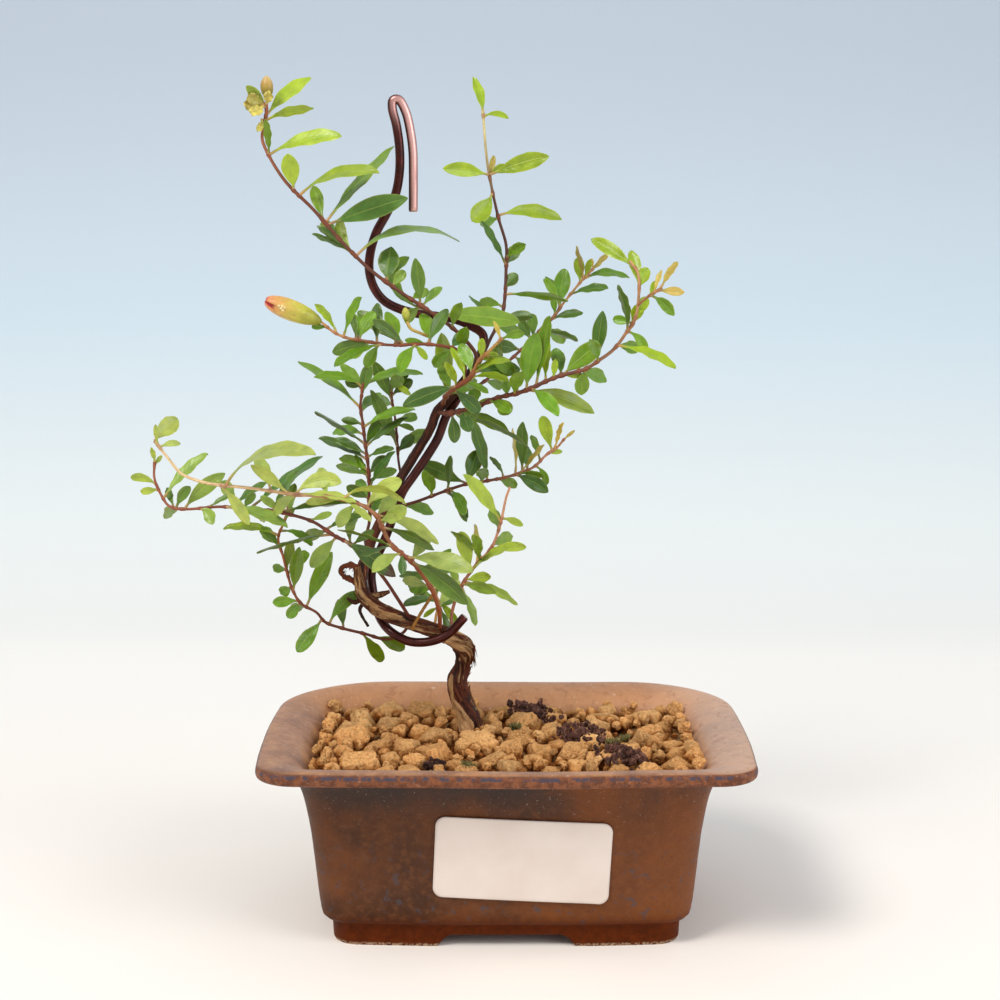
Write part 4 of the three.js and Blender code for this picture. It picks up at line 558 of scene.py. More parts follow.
class Shape:
    """Points and faces with a colour and a mark for each point. part is the look that a face takes."""

    def __init__(self):
        self.points, self.tints, self.marks, self.faces, self.parts = [], [], [], [], []

    def add_point(self, spot):
        place, tint, mark = spot
        self.points.append(place.xyz)
        self.tints.append((*tint[:3], 1.0))
        self.marks.append(tuple(mark))
        return len(self.points) - 1

    def add_face(self, corners, part):
        self.faces.append(corners)
        self.parts.append(part)

    def loft(self, rings, part=0, looped=False):
        """Joins rings of spots, and closes each end with a fan unless the last ring meets the first."""
        rows = [[self.add_point(spot) for spot in ring] for ring in rings]
        count = len(rows[0])
        pairs = list(zip(rows, rows[1:])) + ([(rows[-1], rows[0])] if looped else [])
        for low, high in pairs:
            for side in range(count):
                after = (side + 1) % count
                self.add_face((low[side], low[after], high[after], high[side]), part)
        if looped:
            return
        for row, ring in ((rows[0][::-1], rings[0]), (rows[-1], rings[-1])):
            middle = sum((spot[0].xyz for spot in ring), Vector((0, 0, 0))) / count
            centre = self.add_point((middle, ring[0][1], ring[0][2]))
            for side in range(count):
                self.add_face((row[side], row[(side + 1) % count], centre), part)


def placed(name, data):
    """A new object with this data, in the scene."""
    made = bpy.data.objects.new(name, data)
    bpy.context.scene.collection.objects.link(made)
    return made


def make_piece(name, shape, looks, slot, *nodes, sharp=180):
    """A mesh of the shape, in place of the CAD nodes. Edges that bend more than sharp degrees look sharp."""
    mesh = bpy.data.meshes.new(name)
    mesh.from_pydata([(place + SHIFT) * MM for place in shape.points], [], shape.faces)
    solid = bmesh.new()
    solid.from_mesh(mesh)
    bmesh.ops.recalc_face_normals(solid, faces=solid.faces)
    solid.to_mesh(mesh)
    solid.free()
    mesh.polygons.foreach_set("use_smooth", [True] * len(mesh.polygons))
    mesh.polygons.foreach_set("material_index", shape.parts)
    mesh.set_sharp_from_angle(angle=math.radians(sharp))
    tint = mesh.attributes.new("tint", "FLOAT_COLOR", "POINT")
    tint.data.foreach_set("color", [value for row in shape.tints for value in row])
    mark = mesh.attributes.new("mark", "FLOAT_VECTOR", "POINT")
    mark.data.foreach_set("vector", [value for row in shape.marks for value in row])
    for look in looks:
        mesh.materials.append(look)
    piece = placed(name, mesh)
    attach(piece, "root")
    if nodes:
        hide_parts(*nodes)


# ---- looks -----------------------------------

class Look:
    """A material under construction: its nodes and its one Principled shader."""

    def __init__(self, name, **inputs):
        self.material = bpy.data.materials.new(name)
        self.material.use_nodes = True
        self.tree = self.material.node_tree
        self.shader = self.tree.nodes["Principled BSDF"]
        for key, value in inputs.items():
            self.shader.inputs[key.replace("_", " ")].default_value = value
        self.millimetres = self.places(1 / MM)

    def put(self, socket, value):
        if isinstance(value, bpy.types.NodeSocket):
            self.tree.links.new(value, socket)
        elif isinstance(value, tuple):
            socket.default_value = (*value, 1.0)[:len(socket.default_value)]
        else:
            socket.default_value = value

    def node(self, kind, output, inputs, **settings):
        """The output of a new node. inputs: its sockets by name or number, each with a value or an output."""
        made = self.tree.nodes.new("ShaderNode" + kind)
        for key, value in settings.items():
            setattr(made, key, value)
        for socket, value in inputs.items():
            self.put(made.inputs[socket], value)
        return made.outputs[output]

    def places(self, scale):
        """Object coordinates times a number."""
        return self.scaled(self.node("TexCoord", "Object", {}), (scale,) * 3)

    def scaled(self, vector, scale):
        return self.node("Mapping", "Vector", {"Vector": vector, "Scale": scale})

    def noise(self, scale, detail=4.0, roughness=0.55, distortion=0.0, vector=None):
        return self.node("TexNoise", "Fac", {
            "Vector": vector or self.millimetres, "Scale": scale, "Detail": detail, "Roughness": roughness,
            "Distortion": distortion,
        })

    def calc(self, operation, *values):
        return self.node("Math", 0, dict(enumerate(values)), operation=operation)

    def times(self, first, second):
        return self.calc("MULTIPLY", first, second)

    def between(self, value, low, high):
        """0 below low, 1 above high."""
        return self.node("MapRange", "Result", {"Value": value, "From Min": low, "From Max": high},
                         interpolation_type="SMOOTHSTEP")

    def ramp(self, value, *stops):
        made = self.tree.nodes.new("ShaderNodeValToRGB")
        self.put(made.inputs["Fac"], value)
        elements = made.color_ramp.elements
        while len(elements) < len(stops):
            elements.new(0.5)
        for element, (place, colour) in zip(elements, stops):
            element.position = place
            element.color = (*colour, 1.0)
        return made.outputs["Color"]

    def mix(self, factor, first, second, kind="MIX"):
        return self.node("Mix", 2, {"Factor": factor, 6: first, 7: second}, data_type="RGBA", blend_type=kind)

    def coats(self, colour, *rows):
        """The colour under coats of other tints: rows of where a coat lies, how dense it is and its tint."""
        for mask, dense, tint in rows:
            colour = self.mix(self.times(mask, dense), colour, tint)
        return colour

    def tint(self):
        """The colour that each point of the mesh carries."""
        return self.node("Attribute", "Color", {}, attribute_name="tint")

    def tinted(self, shade):
        """The mesh's own colour times a shade."""
        return self.mix(1.0, self.tint(), shade, "MULTIPLY")

    def mark(self):
        """The three numbers that each point of the mesh carries."""
        return self.node("Attribute", "Vector", {}, attribute_name="mark")

    def split(self, vector):
        made = self.tree.nodes.new("ShaderNodeSeparateXYZ")
        self.put(made.inputs[0], vector)
        return made.outputs

    def colour(self, value):
        self.put(self.shader.inputs["Base Color"], value)

    def rough(self, value, low, high):
        """Roughness from low to high as value goes from 0.3 to 0.7."""
        self.put(self.shader.inputs["Roughness"], self.node("MapRange", "Result", {
            "Value": value, "From Min": 0.3, "From Max": 0.7, "To Min": low, "To Max": high,
        }))

    def bump(self, *heights):
        """Bumps on top of each other: rows of height and depth in millimetres."""
        normal = None
        for height, depth in heights:
            inputs = {"Strength": 1.0, "Distance": depth * MM, "Height": height}
            if normal:
                inputs["Normal"] = normal
            normal = self.node("Bump", "Normal", inputs)
        self.put(self.shader.inputs["Normal"], normal)


def stoneware_look():
    """mark: how much a place belongs to the rim's top and to its edge, and its height against the pot's."""
    look = Look("stoneware")
    top, edge, height = look.split(look.mark())
    across, back, _ = look.split(look.millimetres)
    cloud = look.noise(0.045, 6, 0.6)
    fine = look.noise(0.5, 5, 0.65)
    grit = look.noise(1.6, 3, 0.6)
    blot = look.noise(0.34, 3, 0.6, 0.4)

    body = look.ramp(cloud, (0.32, srgb(54, 32, 19)), (0.5, srgb(76, 43, 23)), (0.68, srgb(108, 59, 25)))
    # Lighter and more orange towards the right: partly the clay's own warmth, partly painted light from the
    # right.
    warm = look.between(across, SHIFT.x - 36, SHIFT.x + 58)
    spots = look.times(look.between(blot, 0.58, 0.66), look.between(height, 0.7, 0.3))
    # Darker grey below the rim, less so on the right: partly soot, partly the rim's painted shadow.
    dark = look.between(look.calc("MULTIPLY_ADD", warm, 0.22, cloud), 0.78, 0.5)
    soot_and_rim_shadow = look.times(look.between(height, 0.66, 0.9), dark)
    crust = look.times(look.between(height, 0.022, 0.008), look.between(grit, 0.42, 0.56))
    chalk = look.between(look.noise(1.9, 3, 0.7, 1.4), 0.66, 0.71)
    chalk = look.times(chalk, look.between(height, 0.5, 0.84))
    body = look.coats(
        body,
        (look.between(fine, 0.42, 0.7), 0.7, srgb(104, 64, 38)),
        (warm, 0.45, srgb(142, 80, 38)),
        (spots, 0.6, srgb(70, 68, 74)),
        (look.between(grit, 0.56, 0.68), 0.4, srgb(56, 44, 40)),
        (soot_and_rim_shadow, 0.8, srgb(50, 45, 44)),
        (look.between(height, 0.2, 0.1), 0.95, look.mix(fine, srgb(40, 12, 1), srgb(112, 46, 8))),
        (crust, 0.8, srgb(196, 168, 138)),
        (chalk, 0.8, srgb(206, 196, 182)),
    )

    rim = look.ramp(look.noise(0.09, 6, 0.68), (0.3, srgb(120, 80, 56)), (0.44, srgb(156, 108, 76)),
                    (0.58, srgb(182, 130, 90)), (0.74, srgb(194, 122, 68)))
    rim = look.coats(
        rim,
        (look.between(fine, 0.5, 0.72), 0.7, srgb(140, 92, 62)),
        (look.between(grit, 0.64, 0.72), 0.5, srgb(206, 180, 156)),
        # Lighter towards the back, where the inner wall faces the lamps: painted light.
        (look.between(back, 4, 34), 0.6, srgb(214, 154, 108)),
        # Paler towards the right: a painted sheen.
        (look.between(across, SHIFT.x + 34, SHIFT.x + 60), 0.45, srgb(220, 186, 162)),
        (look.between(blot, 0.56, 0.66), 0.35, srgb(150, 92, 58)),
        (look.between(look.noise(0.9, 4, 0.75, 0.6), 0.62, 0.68), 0.7, srgb(236, 212, 188)),
    )

    front = look.mix(look.between(fine, 0.4, 0.6), srgb(134, 80, 50), srgb(98, 58, 40))
    front = look.coats(front, (look.between(grit, 0.62, 0.7), 0.5, srgb(176, 150, 132)))
    colour = look.mix(look.between(edge, 0.15, 0.6), look.mix(top, body, rim), front)
    flecks = look.between(look.noise(0.42, 5, 0.7, 0.3), 0.47, 0.56)
    band = look.times(look.between(edge, 0.76, 0.9), flecks)
    look.colour(look.coats(colour, (band, 0.9, srgb(66, 64, 78))))
    look.rough(look.calc("MULTIPLY_ADD", top, -0.34, fine), 0.36, 0.6)
    gloss = look.calc("MULTIPLY_ADD", look.between(height, 0.1, 0.3), 0.14, 0.06)
    look.put(look.shader.inputs["Specular IOR Level"], look.calc("MULTIPLY_ADD", top, 0.1, gloss))
    look.bump((look.noise(0.25, 4), 0.3), (look.noise(2.6, 4, 0.7), 0.1))
    return look.material


def akadama_look():
    """tint: the stone's own tone, with painted shade in its pits and crevices and painted light on its bumps.
    """
    look = Look("akadama", Specular_IOR_Level=0.12, Roughness=0.95)
    grain = look.noise(1.4, 8, 0.8)
    crumb = look.noise(3.4, 5, 0.8)
    colour = look.ramp(grain, (0.32, srgb(184, 119, 62)), (0.46, srgb(234, 175, 110)),
                       (0.66, srgb(251, 208, 148)))
    colour = look.mix(look.between(crumb, 0.58, 0.7), colour, srgb(160, 98, 50))
    look.colour(look.tinted(colour))
    look.bump((grain, 0.55), (crumb, 0.3))
    return look.material


def humus_look():
    look = Look("humus", Specular_IOR_Level=0.3)
    grain = look.noise(0.9, 7, 0.7)
    colour = look.ramp(grain, (0.32, srgb(60, 37, 31)), (0.52, srgb(112, 75, 63)),
                       (0.72, srgb(168, 126, 108)))
    look.colour(look.tinted(colour))
    look.rough(grain, 0.75, 0.95)
    look.bump((grain, 0.4), (look.noise(3.4, 4, 0.7), 0.2))
    return look.material


def moss_look():
    look = Look("moss", Specular_IOR_Level=0.3, Subsurface_Weight=0.1)
    shade = look.noise(1.4, 4)
    look.colour(look.mix(look.between(shade, 0.5, 0.75), look.tint(), srgb(118, 108, 52)))
    look.rough(shade, 0.55, 0.8)
    look.bump((look.noise(4.0, 3), 0.1))
    return look.material


def bark_look():
    """tint: how bare the wood is, how red the bark and how golden. mark: cosine and sine round, mm along."""
    look = Look("bark", Specular_IOR_Level=0.3)
    bare, red, gold = look.split(look.tint())
    mark = look.mark()
    fibre = look.noise(1.0, 6, 0.65, 0.3, look.scaled(mark, (3.4, 3.4, 0.32)))
    fine = look.noise(1.0, 4, 0.7, 0.2, look.scaled(mark, (9.0, 9.0, 1.1)))
    dark = look.ramp(fibre, (0.34, srgb(20, 9, 6)), (0.5, srgb(48, 23, 15)), (0.68, srgb(96, 52, 31)))
    dark = look.coats(dark, (red, 0.75, srgb(142, 68, 36)))
    wood = look.ramp(fibre, (0.3, srgb(112, 74, 44)), (0.44, srgb(172, 126, 80)), (0.68, srgb(212, 170, 120)))
    wood = look.coats(wood, (look.between(fine, 0.58, 0.72), 0.6, srgb(112, 70, 42)))
    edge = look.calc("ADD", bare, look.calc("MULTIPLY_ADD", fine, 0.7, -0.35))
    edge = look.calc("ADD", edge, look.calc("MULTIPLY_ADD", fibre, 0.9, -0.45))
    colour = look.mix(look.between(edge, 0.42, 0.6), dark, wood)
    look.colour(look.mix(gold, colour, look.mix(fibre, srgb(168, 104, 36), srgb(214, 156, 76))))
    look.rough(fibre, 0.5, 0.8)
    look.bump((fibre, 0.5), (fine, 0.16))
    return look.material


def twig_look():
    """tint: the bark's colour. mark: cosine and sine round the twig, mm along."""
    look = Look("twig_bark", Specular_IOR_Level=0.4)
    streak = look.noise(1.0, 5, 0.6, 0.2, look.scaled(look.mark(), (2.6, 2.6, 0.5)))
    shade = look.ramp(streak, (0.32, (0.5, 0.46, 0.42)), (0.66, (1.25, 1.2, 1.12)))
    colour = look.tinted(shade)
    look.colour(look.mix(look.between(look.noise(1.6, 3), 0.64, 0.72), colour, srgb(70, 42, 32)))
    look.rough(streak, 0.42, 0.62)
    look.bump((streak, 0.12))
    return look.material


def wire_look():
    """Anodised aluminium. mark: x is 1 on the bare cut ends, y is how much painted highlight lies there."""
    look = Look("anodised_wire", Metallic=0.55, Specular_IOR_Level=0.5)
    bare, painted_highlight, _ = look.split(look.mark())
    cloud = look.noise(0.3, 4)
    scuff = look.noise(1.8, 4, 0.7, 0.6)
    colour = look.ramp(cloud, (0.35, srgb(54, 17, 12)), (0.55, srgb(74, 26, 19)), (0.72, srgb(98, 39, 30)))
    # Painted highlight: a pale pink coat on one side of the hook near its end.
    colour = look.coats(colour, (painted_highlight, 0.9, srgb(236, 182, 174)),
                        (look.between(scuff, 0.62, 0.74), 0.25, srgb(150, 92, 82)))
    look.colour(look.mix(look.between(bare, 0.4, 0.7), colour, srgb(206, 190, 176)))
    look.rough(scuff, 0.26, 0.36)
    look.bump((cloud, 0.01))
    return look.material


def leaf_look():
    """tint: the leaf's colour. mark: across the blade from -1 to 1, along it, and a number for each leaf."""
    look = Look("pomegranate_leaf", Specular_IOR_Level=0.5, Subsurface_Weight=0.1, Subsurface_Scale=0.001)
    across, way, number = look.split(look.mark())
    off = look.calc("ABSOLUTE", across)
    cloud = look.noise(0.35, 4)
    shade = look.ramp(cloud, (0.3, (0.8, 0.82, 0.8)), (0.7, (1.18, 1.14, 1.04)))
    colour = look.tinted(shade)
    rib = look.between(off, 0.1, 0.03)
    lighter = look.mix(0.4, colour, srgb(186, 196, 84))
    slant = look.calc("SUBTRACT", look.times(way, 62.0), look.times(off, 9.0))
    vein = look.calc("POWER", look.calc("MULTIPLY_ADD", look.calc("SINE", slant), 0.5, 0.5), 4.0)
    spots = look.times(look.between(look.noise(1.9, 2), 0.7, 0.74), look.between(number, 0.55, 0.8))
    look.colour(look.coats(
        colour, (rib, 0.5, lighter), (vein, 0.05, lighter),
        (look.between(off, 0.86, 1.0), 0.25, srgb(172, 178, 66)), (spots, 0.6, srgb(86, 62, 34)),
    ))
    look.rough(cloud, 0.28, 0.44)
    look.bump((rib, 0.06), (vein, 0.015), (look.noise(0.9, 3), 0.08))
    return look.material


def bud_look():
    """tint: the bud's colour."""
    look = Look("bud_skin", Specular_IOR_Level=0.5, Subsurface_Weight=0.15, Subsurface_Scale=0.0015)
    blush = look.noise(0.5, 4)
    shade = look.ramp(blush, (0.3, (0.84, 0.78, 0.7)), (0.7, (1.14, 1.12, 1.05)))
    colour = look.tinted(shade)
    look.colour(look.mix(look.between(look.noise(1.8, 3), 0.64, 0.74), colour, srgb(150, 96, 50)))
    look.rough(blush, 0.34, 0.5)
    look.bump((look.noise(1.2, 4), 0.08))
    return look.material


def paper_look():
    look = Look("label_paper", Specular_IOR_Level=0.4)
    fibre = look.noise(1.2, 5, 0.7)
    cloud = look.noise(0.08, 3)
    colour = look.ramp(cloud, (0.3, srgb(218, 203, 192)), (0.7, srgb(226, 213, 203)))
    look.colour(look.mix(look.between(fibre, 0.6, 0.75), colour, srgb(218, 202, 190)))
    look.rough(fibre, 0.45, 0.6)
    look.bump((fibre, 0.02), (cloud, 0.1))
    return look.material


def mesh_look():
    look = Look("drain_mesh_plastic", Specular_IOR_Level=0.5)
    cloud = look.noise(0.4, 4)
    colour = look.ramp(cloud, (0.35, srgb(38, 62, 44)), (0.65, srgb(58, 84, 62)))
    look.colour(look.mix(look.between(look.noise(1.5, 4), 0.55, 0.7), colour, srgb(120, 92, 60)))
    look.rough(cloud, 0.45, 0.65)
    look.bump((look.noise(2.5, 3), 0.05))
    return look.material


# ---- pot and label ---------------------------

# How finely the pot's profile, its corners, its walls, its floor and its underside are cut up.
FOOT_SPACING = 0.8
WALL_SPACING = 1.3
CORNER_STEPS = 12
LONG_STEPS = 44
SHORT_STEPS = 28
FLOOR_RINGS = 14
UNDER_RINGS = 26
SHAFT_HEIGHTS = (8.8, 6.6, 4.6)
HOLE_BOTTOM = ARCH_HEIGHT + 0.2
# The floor's half length and half depth, to line the drain hole's points up with those of the walls.
FLOOR_HALF = (43, 28)
# Between these heights the wall's inside turns to the rim's colour, the rim's top and its edge begin, the
# edge ends, and the rim begins to be out of true.
INSIDE_TOP = (38, 43)
RIM_TOP = (49.4, 49.9)
EDGE_START = (45.8, 46.2)
EDGE_END = (49.3, 49.8)
RIM_WARP = (45.2, 46.2)
# The height and the reach of the worn band on the rim's edge.
BAND_HEIGHT = 48.9
BAND_REACH = 0.9
LABEL_STEPS = 8
LABEL_SPACING = 1.6
LABEL_SCALES = (0.02, 0.2, 0.4, 0.6, 0.78, 0.9, 0.97)


def cut_corners(rows, rounds):
    """Rounds the corners of a profile by cutting them again and again."""
    for _ in range(rounds):
        result = [rows[0]]
        for before, after in zip(rows, rows[1:]):
            result += [mixed(before, after, 0.25), mixed(before, after, 0.75)]
        rows = [*result, rows[-1]]
    return rows


def dense(rows, longest):
    """The profile's rows with more between them, where they are further apart than longest."""
    result = [rows[0]]
    for before, after in zip(rows, rows[1:]):
        count = max(1, math.ceil(math.hypot(after[0] - before[0], after[1] - before[1]) / longest))
        result += [mixed(before, after, (i + 1) / count) for i in range(count)]
    return result


def round_corners(half_x, half_y, radii, steps):
    """The four corners of a rectangle, one row of points for each, from +X +Y round to +X -Y."""
    arcs = []
    for quarter, radius in enumerate(radii):
        middle_x = (half_x - radius) * (1 if quarter in (0, 3) else -1)
        middle_y = (half_y - radius) * (1 if quarter < 2 else -1)
        angles = [math.radians(90 * quarter + 90 * step / steps) for step in range(steps + 1)]
        arcs.append([(middle_x + radius * math.cos(a), middle_y + radius * math.sin(a)) for a in angles])
    return arcs


def pot_ring(row):
    """A rectangle with round corners, whose walls belly out a little."""
    height, half_length, half_depth, front, back = row
    arcs = round_corners(half_length, half_depth, (back, back, front, front), CORNER_STEPS)
    outline = []
    for i, arc in enumerate(arcs):
        goal = arcs[(i + 1) % 4][0]
        steps = SHORT_STEPS if i % 2 else LONG_STEPS
        outline += [*arc, *(mixed(arc[-1], goal, step / steps) for step in range(1, steps))]
    ring = []
    for x, y in outline:
        side_bow = POT_SIDE_BOW * max(0.0, 1 - (y / half_depth) ** 2) * x / half_length
        bow = POT_BOW * max(0.0, 1 - (x / half_length) ** 2) * y / half_depth
        ring.append(Vector((x + side_bow, y + bow, height)))
    return ring


def underside(place):
    """The height of the feet's underside: the ground, or the arches between the feet."""
    across = smoothstep(0, 1, (ARCH_ACROSS / 2 - abs(place.x)) / ARCH_SLOPE)
    depth = smoothstep(0, 1, (ARCH_ALONG / 2 - abs(place.y)) / ARCH_SLOPE)
    return ARCH_HEIGHT * max(across, depth)


def pot_spot(place, inner, outer):
    """A place of the pot a little out of true, with its mark. inner, outer: the wall's face that it is on."""
    top = smoothstep(*(INSIDE_TOP if inner else RIM_TOP), place.z)
    band = max(0.0, 1 - abs(place.z - BAND_HEIGHT) / BAND_REACH)
    edge = smoothstep(*EDGE_START, place.z) * (0.7 + 0.3 * band) if outer else 0.0
    edge *= 1 - smoothstep(*EDGE_END, place.z)
    out = Vector((place.x, place.y * 1.3, 0)).normalized()
    wobble = 0.22 * noise.noise(place * 0.045) + 0.07 * noise.noise(place * 0.2)
    warp = noise.noise(Vector((place.x * 0.03, place.y * 0.03, 7.7)))
    moved = place + out * wobble
    moved.z = max(0.0, place.z + 0.28 * smoothstep(*RIM_WARP, place.z) * warp)
    return moved, WHITE, (top, edge, place.z / POT_HEIGHT)


def make_pot(look):
    feet = [pot_ring(row) for row in dense(FOOT_ROWS, FOOT_SPACING)]
    walls = [pot_ring(row) for row in dense(cut_corners(WALL_ROWS, 2), WALL_SPACING)]
    foot_top = FOOT_ROWS[-1][0]
    for ring in feet:
        for place in ring:
            low = underside(place)
            place.z = low + (foot_top - low) * place.z / foot_top
    rings = feet + walls
    crown = max(range(len(rings)), key=lambda i: rings[i][0].z)
    angles = [math.atan2(place.y / FLOOR_HALF[1], place.x / FLOOR_HALF[0]) for place in rings[0]]
    hole = [Vector((math.cos(angle), math.sin(angle), 0)) * DRAIN_RADIUS for angle in angles]
    brim, *shaft = [[edge + UP * height for edge in hole] for height in (POT_FLOOR, *SHAFT_HEIGHTS)]
    floor = []
    for step in range(1, FLOOR_RINGS + 1):
        floor.append([wall.lerp(edge, step / FLOOR_RINGS) for wall, edge in zip(rings[-1], brim)])
    under = []
    for step in range(UNDER_RINGS):
        row = [foot.xyz.lerp(edge, 1 - step / UNDER_RINGS) for foot, edge in zip(rings[0], hole)]
        for place in row:
            place.z = underside(place) if step else HOLE_BOTTOM
        under.append(row)
    spots = []
    for i, ring in enumerate([*rings, *floor, *shaft, *under]):
        inner = crown <= i < len(rings)
        outer = len(feet) <= i < crown
        spots.append([pot_spot(place, inner, outer) for place in ring])
    shape = Shape()
    shape.loft(spots, looped=True)
    make_piece("pot_stoneware", shape, [look], "pot", "pot")


def front_wall(x, z):
    """How far the front wall stands out at a place on it."""
    half_length, half_depth = row_at(FRONT_ROWS, z)
    return -(half_depth + POT_BOW * (1 - (x / half_length) ** 2))


def make_label(look):
    """A blank sticker that follows the wall, with one corner coming loose."""
    half_x, half_z = LABEL.width / 2, LABEL.height / 2
    outline = sum(round_corners(half_x, half_z, (LABEL.corner,) * 4, LABEL_STEPS), [])
    filled = []
    for before, after in zip(outline, outline[1:] + outline[:1]):
        count = max(1, round(math.hypot(after[0] - before[0], after[1] - before[1]) / LABEL_SPACING))
        filled += [mixed(before, after, step / count) for step in range(count)]
    tilt = math.radians(LABEL.tilt)

    def sheet_ring(scale, offset):
        ring = []
        for x, z in filled:
            u, v = x * scale, z * scale
            place_x = LABEL.x + u * math.cos(tilt) - v * math.sin(tilt)
            place_z = LABEL.z + u * math.sin(tilt) + v * math.cos(tilt)
            loose = 0.3 * smoothstep(0.86, 1.0, (u / half_x - v / half_z) / 2) * smoothstep(0.8, 1, scale)
            wave = 0.05 * noise.noise(Vector((u * 0.2, v * 0.2, 3)))
            y = front_wall(place_x, place_z) - offset - loose - wave
            ring.append((Vector((place_x, y, place_z)), WHITE, NO_MARK))
        return ring

    rings = [sheet_ring(scale, LABEL.back) for scale in LABEL_SCALES]
    rings += [sheet_ring(1, LABEL.edge_back), sheet_ring(1, LABEL.edge_front)]
    rings += [sheet_ring(scale, LABEL.front) for scale in reversed(LABEL_SCALES)]
    shape = Shape()
    shape.loft(rings)
    make_piece("blank_label", shape, [look], "label", "label")


# ---- soil ------------------------------------

# How far inside the walls the stones end.
WALL_GAP = 0.5


def kept_inside(place):
    """The place itself, or the nearest one inside the pot's walls."""
    half_length, half_depth = row_at(ROOM_ROWS, place.z)
    wide = half_length + POT_SIDE_BOW * (1 - (place.y / half_depth) ** 2) - WALL_GAP
    x = clamp(place.x, -wide, wide)
    deep = half_depth + POT_BOW * max(0.0, 1 - (x / half_length) ** 2) - WALL_GAP
    return Vector((x, clamp(place.y, -deep, deep), place.z))


def ball_of(subdivisions):
    """The points and the faces of a round ball."""
    ball = bmesh.new()
    bmesh.ops.create_icosphere(ball, subdivisions=subdivisions, radius=1)
    points = [vertex.co.normalized() for vertex in ball.verts]
    faces = [tuple(vertex.index for vertex in face.verts) for face in ball.faces]
    ball.free()
    return points, faces


BALLS = {detail: ball_of(detail) for detail in (2, 3, 4, 5)}
GOLDEN_ANGLE = math.pi * (3 - math.sqrt(5))
GOLDEN_PART = 0.618
# How sharply a stone's flats meet, how unevenly they point, how far out the farthest may lie, how much darker
# the darkest is, and how far the corners may reach.
CUT_SHARPNESS = 70
CUT_JITTER = 0.5
CUT_FARTHEST = 0.98
CUT_TONES = 0.16
REACH_LIMIT = 1.12
LUMP_SCALE = 1.7
PIT_SCALE = 1.2
# What each kind of stone is like: the number of its flats, how near the nearest one is, its lumps, its pits
# and the range of its shade.
AKADAMA = SimpleNamespace(cuts=12, flat=0.54, lumps=0.03, pits=0.5, shade=(0.92, 1.26))
MOSS_CORE = SimpleNamespace(cuts=6, flat=0.8, lumps=0.2, pits=0.2, shade=(0.06, 0.1))
STAMEN = SimpleNamespace(cuts=8, flat=0.8, lumps=0.1, pits=0.05, shade=(0.95, 1.05))


def tumbled(draw, most):
    """A turn of up to this many radians about each axis."""
    return Euler((most * draw(), most * draw(), most * draw()))


def flattened(draw):
    """How much a loose stone is stretched along each axis."""
    return 1, drawn(draw, 0.75, 0.25), drawn(draw, 0.7, 0.2)


def add_stone(shape, centre, radius, stretch, turn, draw, detail, kind):
    """A stone: a ball cut flat by planes on all sides, with lumps and pits; its tint is painted darker in the
    pits and lighter on the bumps.
    """
    points, faces = BALLS[detail]
    cuts = []
    for k in range(kind.cuts):
        rise = 1 - (2 * k + 1) / kind.cuts
        flat = math.sqrt(1 - rise * rise)
        heading = Vector((flat * math.cos(GOLDEN_ANGLE * k), flat * math.sin(GOLDEN_ANGLE * k), rise))
        heading += Vector((draw() - 0.5, draw() - 0.5, draw() - 0.5)) * CUT_JITTER
        cuts.append((heading.normalized(), kind.flat + (CUT_FARTHEST - kind.flat) * draw()))
    offset = Vector((draw(), draw(), draw())) * 50
    shade = kind.shade[0] + (kind.shade[1] - kind.shade[0]) * draw()
    warm = 0.9 + 0.1 * draw()
    tones = [1 - CUT_TONES * (k * GOLDEN_PART % 1) for k in range(kind.cuts)]
    turned = turn.to_matrix()
    first = len(shape.points)
    for point in points:
        pulls = [(max(0.0, point.dot(heading)) / height) ** CUT_SHARPNESS for heading, height in cuts]
        reach = min(REACH_LIMIT, max(sum(pulls), 1e-9) ** (-1 / CUT_SHARPNESS))
        facet = tones[pulls.index(max(pulls))]
        lump = kind.lumps * noise.noise(point * LUMP_SCALE + offset)
        rough = noise.fractal(point * (radius * PIT_SCALE) + offset, 0.35, 2.1, 5)
        pit = kind.pits * min(0.12, rough) / radius
        place = point * radius * (reach + lump + pit)
        place = turned @ Vector((place.x * stretch[0], place.y * stretch[1], place.z * stretch[2]))
        # Painted shade and light: the tint is darker in the pits and lighter on the bumps.
        bright = shade * facet * clamp(1 + 0.4 * min(0.3, rough), 0.55, 1.12)
        tint = (bright, bright * warm, bright * warm * warm)
        shape.add_point((kept_inside(centre + place), tint, (shade, 0, 0)))
    for face in faces:
        shape.add_face(tuple(first + corner for corner in face), 0)


def grain_rows():
    """The big grains, drawn as in the part's source."""
    draw = random_source(SOIL_SEED)
    grains = []
    tries = 0
    while len(grains) < GRAINS and tries < GRAIN_TRIES:
        tries += 1
        radius = GRAIN_LARGEST + (GRAIN_SMALLEST - GRAIN_LARGEST) * math.sqrt(len(grains) / GRAINS)
        x = (draw() * 2 - 1) * (GRAIN_AREA[0] - radius * 0.8)
        y = (draw() * 2 - 1) * (GRAIN_AREA[1] - radius * 0.8)
        if all(math.hypot(x - other.x, y - other.y) > 0.84 * (radius + other.radius) for other in grains):
            grains.append(SimpleNamespace(x=x, y=y, radius=radius, lift=draw()))
    return grains


